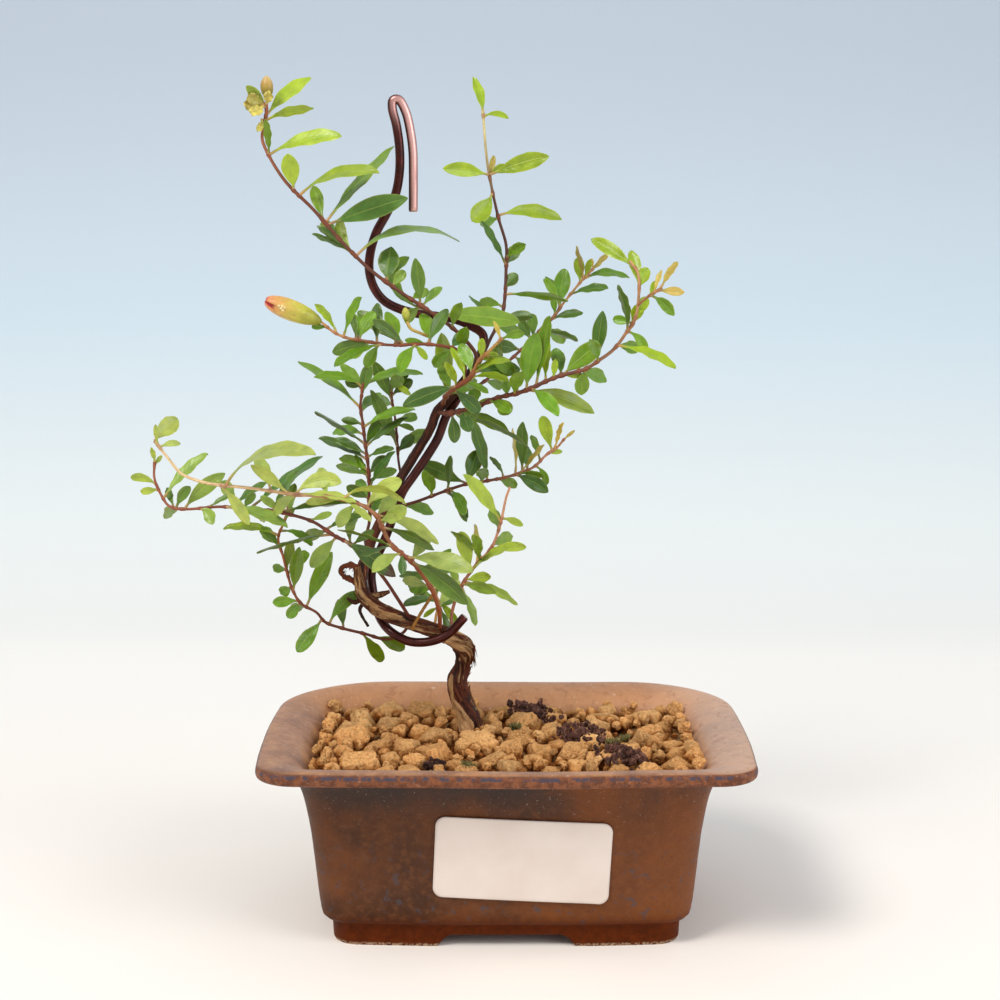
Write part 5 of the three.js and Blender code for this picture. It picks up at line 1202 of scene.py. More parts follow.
def paint_crevice_shade(stones):
    """Paints shade into the stones' colour where they lie close to each other and low near the bed."""
    for stone in stones:
        shape = stone.shape
        reach = stone.radius + CREVICE
        near = [other for other in stones if (other.centre - stone.centre).length < reach + other.radius]
        near.remove(stone)
        for i in stone.points:
            point = shape.points[i]
            gap = min(((point - other.centre).length - other.radius * 0.8 for other in near), default=CREVICE)
            light = CREVICE_LIGHT + (1 - CREVICE_LIGHT) * smoothstep(-0.3, CREVICE, gap)
            light *= 0.5 + 0.5 * smoothstep(SOIL_TOP - 0.5, SOIL_TOP + 3, point.z)
            red, green, blue, _ = shape.tints[i]
            shape.tints[i] = (red * light, green * light ** 1.45, blue * light ** 2.0, 1.0)


# The bed's sides: height, half length, half depth, corner radius at the front and at the back.
BED_ROWS = [(11, 40.2, 25.4, 4, 7), (14, 43, 28.2, 5, 8), (32, 45.2, 30, 5, 9), (43.2, 47.4, 31.8, 5, 10)]
BED_RINGS = 26
# The bed's sides are darkened as painted shade.
BED_SIDE_SHADE = (0.36, 0.33, 0.3)


def bed_rings():
    """The bed under the stones: its sides and its rough top, tinted dark as painted shade between the stones.
    """
    rings = [[(place, BED_SIDE_SHADE, NO_MARK) for place in pot_ring(row)] for row in BED_ROWS]
    edge = [spot[0] for spot in rings[-1]]
    for step in range(1, BED_RINGS):
        part = 1 - step / BED_RINGS
        ring = []
        for corner in edge:
            place = Vector((corner.x * part, corner.y * part, 0))
            rough = noise.fractal(place * 0.35, 0.8, 2.0, 4)
            place.z = BED_ROWS[-1][0] + 0.9 * rough
            # The bed's top is tinted dark as painted shade between the stones, a little lighter on its higher
            # bumps.
            bright = clamp(0.38 + 0.25 * rough, 0.2, 0.6)
            ring.append((place, (bright, bright * 0.95, bright * 0.9), NO_MARK))
        rings.append(ring)
    return rings


def make_soil(look):
    """The grains in two pieces, for their number of faces, and the bed under them with the second."""
    big, small = Shape(), Shape()
    stones = []

    def lay(shape, centre, radius, *rest):
        first = len(shape.points)
        add_stone(shape, centre, radius, *rest, AKADAMA)
        own_points = range(first, len(shape.points))
        stones.append(SimpleNamespace(shape=shape, centre=centre, radius=radius, points=own_points))

    grains = grain_rows()
    draw = random_source(SOIL_SEED + 5)
    own = random_source(SOIL_SEED + 11)
    for grain in grains:
        stretch = (1, drawn(draw, 0.8, 0.25), drawn(draw, 0.7, 0.2))
        turn = Euler((draw() * 0.8, draw() * 0.8, draw() * 2 * math.pi))
        for _ in range(GRAIN_DRAWS):
            draw()
        height = SOIL_TOP - grain.radius * 0.12 + grain.lift * 0.9
        detail = 5 if grain.radius > FINE_GRAIN and grain.y < FINE_BACK else 4
        lay(big, Vector((grain.x, grain.y, height)), grain.radius * GRAIN_FILL, stretch, turn, own, detail)

    spots = [*(lump[:3] for lump in LUMPS), TRUNK_FOOT]
    taken = [(grain.x, grain.y, grain.radius) for grain in grains]
    added = tries = 0
    while added < BETWEEN.count and tries < BETWEEN_TRIES:
        tries += 1
        radius = drawn(own, *BETWEEN.radius)
        x = (own() * 2 - 1) * (BETWEEN.area[0] - radius)
        y = (own() * 2 - 1) * (BETWEEN.area[1] - radius)
        near = any(math.hypot(x - a, y - b) < 0.62 * (r + radius) for a, b, r in taken)
        if near or any(math.hypot(x - a, y - b) < r + radius * 0.5 for a, b, r in spots):
            continue
        taken.append((x, y, radius))
        added += 1
        turn = tumbled(own, 3)
        place = Vector((x, y, drawn(own, *BETWEEN.height)))
        lay(small, place, radius, flattened(own), turn, own, 4 if radius > 2 and y < 0 else 3)
    for side in (-1, 1):
        for k in range(AT_ENDS.count):
            radius = drawn(own, *AT_ENDS.radius)
            x = side * (AT_ENDS.area[0] - 0.5 * radius)
            y = AT_ENDS.area[1] * (2 * (k + own()) / AT_ENDS.count - 1)
            place = Vector((x, y, drawn(own, *AT_ENDS.height)))
            turn = tumbled(own, 3)
            lay(small, place, radius, flattened(own), turn, own, 4)
    for _ in range(ON_BED.count):
        radius = drawn(own, *ON_BED.radius)
        x = (own() * 2 - 1) * ON_BED.area[0]
        y = (own() * 2 - 1) * ON_BED.area[1]
        place = Vector((x, y, drawn(own, *ON_BED.height)))
        turn = tumbled(own, 3)
        lay(small, place, radius, (1, drawn(own, 0.8, 0.2), 0.7), turn, own, 2)
    paint_crevice_shade(stones)
    small.loft(bed_rings())
    make_piece("akadama_grains", big, [look], "soil", "soil", sharp=STONE_SHARP)
    make_piece("akadama_bed", small, [look], "soil", "soil", sharp=STONE_SHARP)


def scatter_trail(shape, draw, kind):
    """Loose crumbs on the grains along the trail between the lumps."""
    stretches = list(zip(HUMUS_TRAIL, HUMUS_TRAIL[1:]))
    for _ in range(TRAIL_CRUMBS):
        low, high = stretches[min(len(stretches) - 1, int(draw() * len(stretches)))]
        x, y = mixed(low, high, draw())
        x += (draw() - 0.5) * TRAIL_WIDTH
        y += (draw() - 0.5) * TRAIL_WIDTH
        place = Vector((x, y, drawn(draw, SOIL_TOP + 2.6, 2.6)))
        turn = tumbled(draw, 6)
        size = 0.45 + 0.95 * draw() ** 1.5
        add_stone(shape, place, size, CRUMB_STRETCH, turn, draw, 3, kind)


def make_humus(look):
    """Lumps of crumbs, the last one small, dark and dense."""
    for index, (x, y, radius, (crumbs, spread, bright)) in enumerate(LUMPS):
        shape = Shape()
        draw = random_source(SOIL_SEED + 31 * (index + 1))
        centre = Vector((x, y, SOIL_TOP + radius * 0.45))
        kind = SimpleNamespace(cuts=9, flat=0.5, lumps=0.3, pits=0.5, shade=(0.55 * bright, 1.25 * bright))
        add_stone(shape, centre, radius * 0.92, LUMP_STRETCH, Euler((0.3, 0.2, draw() * 6)), draw, 4, kind)
        for _ in range(crumbs):
            angle = draw() * 2 * math.pi
            reach = radius * drawn(draw, 0.45, spread)
            size = 0.4 + 0.95 * draw() ** 1.4
            rise = max(0.0, radius * 0.9 - 0.55 * max(0.0, reach - radius * 0.4)) * drawn(draw, 0.4, 0.6)
            place = centre + Vector((reach * math.cos(angle), reach * math.sin(angle), rise))
            place.z = max(place.z, CRUMB_FLOOR)
            add_stone(shape, place, size, CRUMB_STRETCH, tumbled(draw, 6), draw, 3, kind)
        if index == TRAIL_LUMP:
            scatter_trail(shape, draw, kind)
        make_piece(f"humus_{index + 1}", shape, [look], "humus", f"soil_lump_{index + 1}", sharp=STONE_SHARP)


def make_moss(look):
    """Tufts of small pointed blades round a dark core."""
    for index, (x, y, z, radius) in enumerate(MOSS):
        shape = Shape()
        draw = random_source(MOSS_SEED + index)
        core = Vector((x, y, z - 1.2))
        add_stone(shape, core, radius * 0.8, (1, 1, 0.7), Euler((0, 0, 0)), draw, 3, MOSS_CORE)
        shape.tints = [(*MOSS_CORE_TINT, 1.0)] * len(shape.points)
        for _ in range(MOSS_BLADE.count):
            angle = draw() * 2 * math.pi
            reach = radius * math.sqrt(draw())
            out = Vector((math.cos(angle), math.sin(angle), 0))
            root = Vector((x, y, z - 1.0)) + out * reach
            lean = out * drawn(draw, 0.2, 0.9) * reach / radius
            tip = root + (UP + lean).normalized() * drawn(draw, *MOSS_BLADE.length)
            tint = mixed(MOSS_DARK, MOSS_LIGHT, draw())
            side = (tip - root).orthogonal().normalized() * MOSS_BLADE.half
            other = (tip - root).normalized().cross(side)
            rings = []
            for part, wide in MOSS_BLADE.widths:
                centre = root.lerp(tip, part)
                corners = (side * wide, other * wide, (side + other) * wide * -0.7)
                rings.append([(centre + corner, tint, NO_MARK) for corner in corners])
            shape.loft(rings)
        make_piece(f"moss_{index + 1}", shape, [look], "soil")


# ---- trunk and wire --------------------------

def bare_places():
    """The places of the bare wood, to look up the nearest one, and how wide each is."""
    rows = [row for line in BARE_LINES for row in smooth(line, 0.4)]
    places = KDTree(len(rows))
    for i, row in enumerate(rows):
        places.insert(row.xyz, i)
    places.balance()
    return places, [row[3] for row in rows]


bare_wood, bare_widths = bare_places()
# How fast the ridges and the fibres wind round the trunk, in radians for each millimetre.
RIDGE_TWIST = 0.14
FIBRE_TWIST = 0.09
# Above these heights the trunk is smooth and its bark whole.
SMOOTH_HEIGHTS = (88, 96)
# What grows from the trunk: its line, how many sides, and how bare, red, rough and golden its bark is.
ARMS = [
    (STUMP, 20, 0.45, 0.3, 0.3, 0.12), (BARK_CURL, 16, 0.1, 0.9, 0.55, 0), (STUB, 16, 0.4, 0.4, 0.25, 0),
    (THORN, 10, 0, 0, 0.25, 0), (SPUR, 10, 0, 0.2, 0.25, 0), (STALK, 12, 0, 0, 0.12, 0.9),
]


def bark_spot(row, angle, run, out):
    """The trunk's surface: twisted ridges, flaking bark and the bare wood between."""
    radius = row[3]
    low = 1 - smoothstep(*SMOOTH_HEIGHTS, row.z)
    ridge = TRUNK_RIDGE * (0.35 + 0.65 * low)
    twist = RIDGE_TWIST * run
    form = 1 + ridge * math.cos(3 * angle + twist) + 0.5 * ridge * math.cos(5 * angle - twist)
    wound = angle + FIBRE_TWIST * run
    around = Vector((math.cos(wound), math.sin(wound), 0))
    fibre = noise.fractal(around * 2.6 + UP * run * 0.16, 0.7, 2.0, 4)
    patch = noise.noise(around * 0.85 + UP * (run * 0.075 + 4))
    _, nearest, distance = bare_wood.find(row.xyz + out * radius)
    bare = smoothstep(0.5, -0.3, distance - bare_widths[nearest] + 1.3 * patch)
    bare = max(bare, 0.5 * smoothstep(0.3, 0.42, patch)) * low
    flake = (1 - bare) * (0.22 + 0.34 * abs(fibre)) * (0.4 + 0.6 * low)
    size = radius * form * (1 + 0.06 * fibre) + flake * min(1.0, radius / 2.4) - 0.12
    return size, (bare, clamp(0.6 * fibre + 0.2), 0), (math.cos(wound), math.sin(wound), run)


def arm_spot(bare, red, rough=0.25, gold=0.0):
    """The surface of a thinner part of the trunk."""
    def spot(row, angle, run, _):
        around = Vector((math.cos(angle) * 2, math.sin(angle) * 2, run * 0.3 + row[0]))
        fibre = noise.fractal(around, 0.7, 2.0, 3)
        size = row[3] * (1 + rough * fibre)
        return size, (bare + 0.3 * fibre, red, gold), (math.cos(angle), math.sin(angle), run)
    return spot


def add_fibre(shape, start, way, length, radius, spot):
    """A thin strip of bark that stands off and thins out."""
    side = way.orthogonal().normalized()
    rows = []
    for step in range(6):
        part = step / 5
        place = start + way * (length * part) + side * (0.25 * length * part * part)
        rows.append(Vector((*place, radius * (1 - 0.8 * part))))
    shape.loft(tube_rings(rows, 5, spot))


def add_strip(shape, guide, draw):
    """A strip of bark that lifts off the trunk. guide: each row of the trunk, its way along and its frame."""
    start = drawn(draw, *STRIP.start)
    angle = drawn(draw, *STRIP.angle)
    length = drawn(draw, *STRIP.length)
    lift = 0.25 + draw() ** 2
    radius = drawn(draw, *STRIP.radius)
    strip = []
    for step in range(9):
        part = step / 8
        place = start + length * (part - 0.5)
        row, _, (_, normal, across) = min(guide, key=lambda entry: abs(entry[1] - place))
        wound = angle - FIBRE_TWIST * (place - start)
        out = row[3] * 1.08 + lift * max(0.0, part - 0.35) ** 2 * 1.6
        centre = row.xyz + (normal * math.cos(wound) + across * math.sin(wound)) * out
        strip.append(Vector((*centre, radius * (1 - 0.75 * part ** 3))))
    red = drawn(draw, 0.3, 0.7)
    shape.loft(tube_rings(strip, 5, arm_spot(drawn(draw, 0.1, 0.5), red, 0.1)))


def make_trunk(look):
    shape = Shape()
    rows = smooth(TRUNK_PATH, 0.5)
    shape.loft(tube_rings(rows, 40, bark_spot))
    for arm, sides, *bark in ARMS:
        shape.loft(tube_rings(smooth(arm, 0.35), sides, arm_spot(*bark)))
    for root in ROOTS:
        shape.loft(tube_rings(smooth(root, 0.7), 14, arm_spot(0.5, 0.3)))
    draw = random_source(TRUNK_SEED)
    curl = smooth(BARK_CURL, 0.4)
    for _ in range(CURL_FIBRES.count):
        start = curl[min(len(curl) - 1, int(draw() * len(curl)))].xyz
        way = (CURL_MIDDLE - start).normalized() + Vector((draw() - 0.5, draw() - 0.8, draw() - 0.5)) * 1.3
        length = drawn(draw, *CURL_FIBRES.length)
        add_fibre(shape, start, way.normalized(), length, CURL_FIBRES.radius, arm_spot(0.1, 0.9))
    for _ in range(ELBOW_FIBRES.count):
        start = ELBOW + Vector((draw() - 0.5, draw() - 0.8, draw() * 3 - 1.5))
        way = Vector((drawn(draw, 0.25, 0.3), 0.3 * (draw() - 0.5), -1)).normalized()
        length = drawn(draw, *ELBOW_FIBRES.length)
        add_fibre(shape, start, way, length, ELBOW_FIBRES.radius, arm_spot(0.35, 0.9))
    guide = list(zip(rows, distances(rows), frames(rows)))
    for _ in range(TRUNK_STRIPS):
        add_strip(shape, guide, draw)
    make_piece("trunk_bark", shape, [look], "bark", "trunk")


def source_trunk_rows():
    """The trunk's line as in the part's source: halfway rows up to TRUNK_SMOOTH, then the rows themselves."""
    rows = [Vector(row) for row in TRUNK_PATH]
    fine = smooth(TRUNK_PATH, 0.2)
    result = []
    for i, (low, high) in enumerate(zip(rows, rows[1:])):
        result.append(low)
        if i < TRUNK_SMOOTH:
            middle = (low.xyz + high.xyz) / 2
            nearest = min(fine, key=lambda row: (row.xyz - middle).length)
            result.append(Vector((*nearest.xyz, (low[3] + high[3]) / 2)))
    result.append(rows[-1])
    return result


def make_wire(look):
    rows = source_trunk_rows()
    centres = [row.xyz for row in rows]
    points = [Vector(place) for place in WIRE_START]
    for part, degrees in WIRE_TURNS:
        place, direction = along(centres, part)
        nearest = min(rows, key=lambda row: (row.xyz - place).length)
        front = (VIEWER + direction * direction.y).normalized()
        side = direction.cross(front)
        reach = nearest[3] * (1 + 1.5 * TRUNK_RIDGE) + WIRE_RADIUS + WIRE_GAP
        turn = math.radians(degrees)
        points.append(place + front * (reach * math.cos(turn)) + side * (reach * math.sin(turn)))
    points += [Vector(place) for place in WIRE_HOOK]
    line = smooth([(*place, WIRE_RADIUS) for place in points], 0.55)
    last = distances(line)[-1]

    def spot(row, angle, run, out):
        bevel = 0.16 * (1 - smoothstep(0, 0.35, min(run, last - run)))
        # A painted highlight on one side of the hook, near the wire's end.
        near_end = smoothstep(HIGHLIGHT_LENGTH, HIGHLIGHT_LENGTH - HIGHLIGHT_FADE, last - run)
        painted_highlight = near_end * smoothstep(0.35, 1, out.dot(HIGHLIGHT_SIDE))
        return WIRE_RADIUS - bevel, WHITE, (0, painted_highlight, run)

    rings = tube_rings(line, 20, spot)
    cuts = []
    for end in (0, -1):
        cuts.append([(line[end].xyz.lerp(place, 0.97), tint, (1, 0, 0)) for place, tint, _ in rings[end]])
    shape = Shape()
    shape.loft([cuts[0], *rings, cuts[1]])
    shape.marks[-2:] = [(1, 0, 0)] * 2
    make_piece("training_wire", shape, [look], "wire", "wire")


# ---- leaves and twigs ------------------------

def leaf_plan(point, angle, lean, chord, seen_width, age, arch, roll_sign):
    """Everything that a leaf's shape needs, as in the part's source."""
    turn, tilt = math.radians(angle), math.radians(lean)
    forward = Vector((math.cos(turn) * math.cos(tilt), -math.sin(tilt), math.sin(turn) * math.cos(tilt)))
    upward = Vector((-math.sin(turn), 0, math.cos(turn)))
    length = min(chord / math.cos(tilt), chord * 1.5, LEAF_LONGEST)
    width = max(seen_width, LEAF_LONG_WIDTH * length)
    right = 1 if math.cos(turn) >= 0 else -1
    return SimpleNamespace(
        point=point, forward=forward, upward=upward, viewer=forward.cross(upward), length=length, width=width,
        roll=math.acos(min(1, seen_width / width)) * roll_sign, right=right, arch=math.radians(arch) * right,
        under=age == SEEN_UNDER, age=age,
    )


def leaf_frame(plan, part):
    """A point on the midrib, and the directions out of the upper face and across the blade there."""
    bend = plan.arch or 1e-6
    turn = bend * (0.5 - part)
    arc = plan.length * bend / (2 * math.sin(bend / 2))
    ahead = (math.sin(bend / 2) - math.sin(turn)) / bend
    aside = (math.cos(turn) - math.cos(bend / 2)) / bend
    centre = plan.point + plan.forward * (arc * ahead) + plan.upward * (arc * aside)
    heading = plan.forward * math.cos(turn) + plan.upward * math.sin(turn)
    lifted = plan.upward * math.cos(turn) - plan.forward * math.sin(turn)
    to_viewer = plan.viewer * (math.cos(plan.roll) * (-1 if plan.under else 1))
    face = to_viewer + lifted * (math.sin(plan.roll) * plan.right)
    return centre, face, face.cross(heading)


def leaf_rows(spray, draw):
    """The rows of a spray's leaves, drawn in the same order as in the part's source."""
    centres = [Vector(place) for place in spray.path]
    rows = []
    for percent, angle, chord, width, age, arch in spray.leaves:
        point, _ = along(centres, percent / 100)
        lean = (draw() * 2 - 1) * LEAF_LEAN
        rows.append((point, angle, lean, chord, width, age, arch, 1 if draw() < ROLL_PART else -1))
    count, low, high = spray.back
    for i in range(count):
        percent = low + (high - low) * (i + 0.2 + 0.6 * draw()) / count
        point, direction = along(centres, percent / 100)
        angle = math.degrees(math.atan2(direction.z, direction.x))
        angle += (1 if i % 2 else -1) * drawn(draw, *FAR_LEAF.turn)
        away = draw() < FAR_LEAF.away
        lean = -drawn(draw, *FAR_LEAF.lean_away) if away else drawn(draw, *FAR_LEAF.lean_near)
        chord = drawn(draw, *FAR_LEAF.chord)
        width = drawn(draw, *FAR_LEAF.width)
        rows.append((point, angle, lean, chord, width, FAR_LEAF.age, FAR_LEAF.arch, 1))
    return rows


def settled_plan(row, corners):
    """The plan whose tip is a corner of the CAD solid, among the turns that the part's source tries."""
    point, angle, lean, *rest = row
    for turn_angle, turn_lean in TURNS:
        plan = leaf_plan(point, angle + turn_angle, clamp(lean + turn_lean, -LEAN_LIMIT, LEAN_LIMIT), *rest)
        if corners.find(leaf_frame(plan, 1)[0])[2] < MATCH:
            return plan
    return None


# How far along a blade, and its half width there: as a pointed lance and as an oval with a blunt tip.
BLADE_ROWS = [
    (0, 0.06, 0.05), (0.05, 0.17, 0.12), (0.1, 0.3, 0.22), (0.18, 0.52, 0.38), (0.27, 0.73, 0.58),
    (0.36, 0.88, 0.76), (0.45, 0.97, 0.9), (0.55, 1, 0.98), (0.65, 0.94, 1), (0.75, 0.8, 0.96),
    (0.83, 0.63, 0.86), (0.9, 0.43, 0.7), (0.95, 0.26, 0.52), (0.98, 0.13, 0.33), (1, 0.03, 0.08),
]


def blade_outline(part, fullness):
    """Half width of a blade, from a pointed lance, fullness 0, to an oval with a blunt tip, fullness 1."""
    lance, oval = row_at(BLADE_ROWS, clamp(part))
    return lance + (oval - lance) * fullness


# Longer leaves get the finer mesh: steps along the blade, and from its midrib to its edge.
LONG_LEAF = 8
FINE_BLADE = (17, 4)
COARSE_BLADE = (12, 3)
BLADE_THICKNESS = 0.1
RIB_DEPTH = 0.08
# Least value and spread of a leaf's brightness, of how much its halves fold up, and of its waves.
LEAF_SHADE = (0.8, 0.42)
LEAF_FOLD = (0.32, 0.45)
LEAF_WAVES = (2.2, 2)
# Where the stalk's colour ends, and where the leaf with the dead tip turns brown, as parts of the length.
PINK_END = 0.2
DEAD_START = (0.8, 0.86)


def add_leaf(shape, plan, draw, start, tops, ruffle=1.0, part_index=0, dead=False):
    """A thin folded blade on its stalk, growing from start. tops: the upper face's colour."""
    steps, halves = FINE_BLADE if plan.length > LONG_LEAF else COARSE_BLADE
    top = mixed(tops, LEAF_GLOW, 0.24 * draw())
    shade = drawn(draw, *LEAF_SHADE)
    top = tuple(value * shade for value in top)
    under = tuple(value * (0.9 + 0.1 * shade) for value in LEAF_UNDERS[plan.age])
    fold = drawn(draw, *LEAF_FOLD) * (1 if plan.width > 2 else 0.7)
    phase, waves = draw() * 6.3, drawn(draw, *LEAF_WAVES)
    number = draw()
    nibble = 0.1 * max(0.0, draw() - 0.55) * ruffle
    fullness = drawn(draw, 0.1, 0.5) if plan.length > LANCE_LENGTH else drawn(draw, 0.4, 0.6)
    foot = 0.1 if plan.length > 6 else 0.06
    broad = 1.1 if plan.age in (0, 1) else 1.0
    columns = [*range(-halves, halves + 1), *range(halves - 1, -halves, -1)]
    rings = []
    for step in range(steps + 1):
        x = step / steps
        part = min(0.996, 0.55 * x + 0.45 * (0.5 - 0.5 * math.cos(math.pi * x)))
        centre, face, across = leaf_frame(plan, part)
        centre = centre + (start - plan.point) * (1 - smoothstep(0, 0.25, part))
        blade = (part - foot) / (1 - foot)
        wide = plan.width / 2 * broad * blade_outline(blade, fullness) if blade > 0 else 0
        stalk = LEAF_PETIOLE * (1 - 0.25 * part) * (1 - smoothstep(0.1, 0.3, part))
        half = max(wide, stalk, 0.1)
        spread = smoothstep(0.02, 0.2, blade)
        thick = stalk * (1 - spread) + (BLADE_THICKNESS + 0.05 * (1 - part)) * spread
        pink = 0.85 * (1 - smoothstep(0.0, PINK_END, part))
        ring = []
        for i in columns:
            upper = len(ring) <= 2 * halves
            u = i / halves
            beat = waves * part * 6.3 + phase + (1.3 if u > 0 else 0)
            wave = 0.2 * ruffle * math.sin(beat) * u * u * spread
            edge = 1 + nibble * noise.noise(Vector((part * 9, u, number * 40))) * 2
            height = (fold * abs(u) ** 1.3 - 0.18 - 0.25 * fold * u ** 4) * spread * min(1, half / 1.2) + wave
            lens = thick * math.sqrt(max(0.0, 1 - u * u)) * (1 if upper else -1)
            rib = -RIB_DEPTH * spread if not upper and i == 0 else 0
            place = centre + across * (half * u * edge) + face * (height + lens + rib)
            tint = top if upper else under
            if upper and abs(i) == halves:
                tint = mixed(top, under, 0.35)
            tint = mixed(tint, PETIOLE_TINT, pink)
            if dead:
                tint = mixed(tint, DEAD_TINT, smoothstep(*DEAD_START, part + 0.03 * u))
            ring.append((place, tint, (u, part, number)))
        rings.append(ring)
    shape.loft(rings, part_index)


def add_twig(shape, spray, nodes, draw):
    """The twig's smooth line with a swelling at every leaf. Gives back its places."""
    last = len(spray.path) - 1
    rows = []
    for i, place in enumerate(spray.path):
        radius = spray.radii[0] + (spray.radii[1] - spray.radii[0]) * i / last
        rows.append((*place, radius * TWIG_SCALE))
    line = smooth(rows, 0.7)
    root, tip, hold = spray.bark
    total = distances(line)[-1]
    seed = draw() * 90

    def spot(row, angle, run, _):
        near = min(((node - row.xyz).length for node in nodes), default=9)
        swell = 0.92 + 0.5 * math.exp(-(near / 0.5) ** 2)
        uneven = 1 + 0.06 * noise.noise(Vector((math.cos(angle), math.sin(angle), run * 0.35 + seed)))
        tint = mixed(root, tip, smoothstep(hold, 1, run / total))
        tint = mixed(tint, NODE_TINT, 0.6 * math.exp(-(near / 0.6) ** 2))
        return row[3] * swell * uneven, tint, (math.cos(angle), math.sin(angle), run + seed)

    shape.loft(tube_rings(line, 9, spot), 1)
    return line


def node_corners(name):
    """The corners of a CAD node, in millimetres round the pot's middle."""
    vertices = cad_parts[name].data.vertices
    corners = KDTree(len(vertices))
    for i, vertex in enumerate(vertices):
        corners.insert(vertex.co / MM - SHIFT, i)
    corners.balance()
    return corners


def make_sprays(leaf, twig):
    for index, spray in enumerate(SPRAYS):
        shape = Shape()
        rows = leaf_rows(spray, random_source(SPRAY_SEED + SPRAY_SEED_STEP * index))
        corners = node_corners(spray.name)
        plans = [plan for plan in (settled_plan(row, corners) for row in rows) if plan]
        draw = random_source(LEAF_SEED + LEAF_SEED_STEP * index)
        line = add_twig(shape, spray, [plan.point for plan in plans], draw)
        tips = [leaf_frame(plan, 1)[0] for plan in plans]
        dead = min(range(len(tips)), key=lambda k: math.hypot(tips[k].x - DEAD_TIP.x, tips[k].z - DEAD_TIP.z))
        for k, plan in enumerate(plans):
            start = min(line, key=lambda row: (row.xyz - plan.point).length).xyz
            pale = spray.pale if plan.age else 0
            tops = mixed(LEAF_TOPS[plan.age], PALE_LEAF, pale)
            add_leaf(shape, plan, draw, start, tops, dead=k == dead and spray.name == DEAD_TIP_SPRAY)
        make_piece(f"leafy_{spray.name}", shape, [leaf, twig], "foliage", spray.name, sharp=LEAF_SHARP)


# ---- buds ------------------------------------

# Profiles of buds: how far along, how wide, and how far the lobes' tips reach past each other there.
FLOWER_PROFILE = [
    (0.0, 0.2, 0), (0.03, 0.32, 0), (0.08, 0.5, 0), (0.15, 0.66, 0), (0.24, 0.82, 0), (0.34, 0.92, 0),
    (0.44, 0.98, 0), (0.54, 1, 0), (0.64, 0.99, 0), (0.73, 0.94, 0), (0.8, 0.86, 0), (0.86, 0.77, 0),
    (0.91, 0.66, 0.002), (0.95, 0.53, 0.004), (0.975, 0.4, 0.006), (0.992, 0.22, 0.006), (0.99, 0.08, 0),
]
TIP_PROFILE = [
    (0.0, 0.35, 0), (0.08, 0.66, 0), (0.22, 0.9, 0), (0.4, 1, 0), (0.58, 1, 0), (0.72, 0.88, 0),
    (0.84, 0.66, 0), (0.93, 0.44, 0.01), (0.99, 0.2, 0.01),
]
FLOWER_BUD = SimpleNamespace(
    base=Vector((-46, -16, 157)), tip=Vector((-59.6, -17.8, 162.4)), radius=2.6, lobes=6, sides=72,
    profile=FLOWER_PROFILE,
    tints=[(0, srgb(138, 142, 42)), (0.3, srgb(174, 176, 62)), (0.55, srgb(198, 182, 84)),
           (0.75, srgb(212, 168, 96)), (0.94, srgb(220, 146, 100)), (1.0, srgb(200, 94, 70))],
)
TIP_BUD = SimpleNamespace(
    base=Vector((-60.5, 0.1, 213)), tip=Vector((-60.6, 0.2, 218.3)), radius=1.6, lobes=5, sides=24,
    profile=TIP_PROFILE,
    tints=[(0, srgb(122, 130, 40)), (0.3, srgb(152, 138, 48)), (0.5, srgb(168, 134, 58)),
           (0.68, srgb(184, 156, 88)), (1.0, srgb(206, 180, 128))],
)
SIDE_BUD = SimpleNamespace(
    base=Vector((-25.3, -6, 156.8)), tip=Vector((-25.7, -6.2, 160.3)), radius=1.0, lobes=5, sides=20,
    profile=TIP_PROFILE,
    tints=[(0, srgb(132, 146, 44)), (0.5, srgb(164, 170, 58)), (1, srgb(190, 188, 84))],
)
SIDE_STALK = [
    (-19.4, -3.4, 152.6, 0.42), (-22, -5.4, 153.8, 0.4), (-24.4, -6, 155, 0.4), (-25.3, -6, 157, 0.46),
]
SIDE_STALK_TINT = srgb(196, 168, 84)
# The slit where the flower bud opens, and the stamens that stand in it.
FLOWER_SLIT = SimpleNamespace(
    facing=Vector((-0.1, -0.93, -0.35)).normalized(), tint=srgb(150, 14, 12), start=0.78,
)
STAMENS = [
    (-55.4, -20, 160.5), (-55.9, -20.1, 161.1), (-55.1, -19.9, 161), (-55, -19.9, 160), (-54.6, -19.8, 160.6),
]
STAMEN_TINT = srgb(236, 214, 160)
STAMEN_RADIUS = 0.42
STAMEN_SEED = 616
# The dried petals and a stipule: base, angle, lean, length and width.
DRIED_PETALS = [
    ((-61.3, -0.5, 211.4), 178, 20, 4.8, 3.4), ((-61.2, -0.4, 211.6), 152, 35, 4.2, 3.0),
    ((-61.3, -0.6, 211), 210, 40, 3.8, 2.8), ((-60.8, -0.8, 211.2), 78, 25, 3.2, 2.6),
    ((-61.9, -0.6, 207.6), 250, 15, 3.4, 1.8),
]
DRIED_TINT = srgb(200, 184, 92)
DRIED_RUFFLE = 3.2
DRIED_ARCH = -50
DRIED_AGE = 3
DRIED_SEED = 777


def bud_tint(bud, part, lobe):
    """The bud's colour at a part of its length, a little less ripe between its lobes."""
    for (low, first), (high, second) in zip(bud.tints, bud.tints[1:]):
        if part <= high:
            break
    return mixed(mixed(first, second, smoothstep(low, high, part)), first, 0.3 * max(0.0, -lobe))


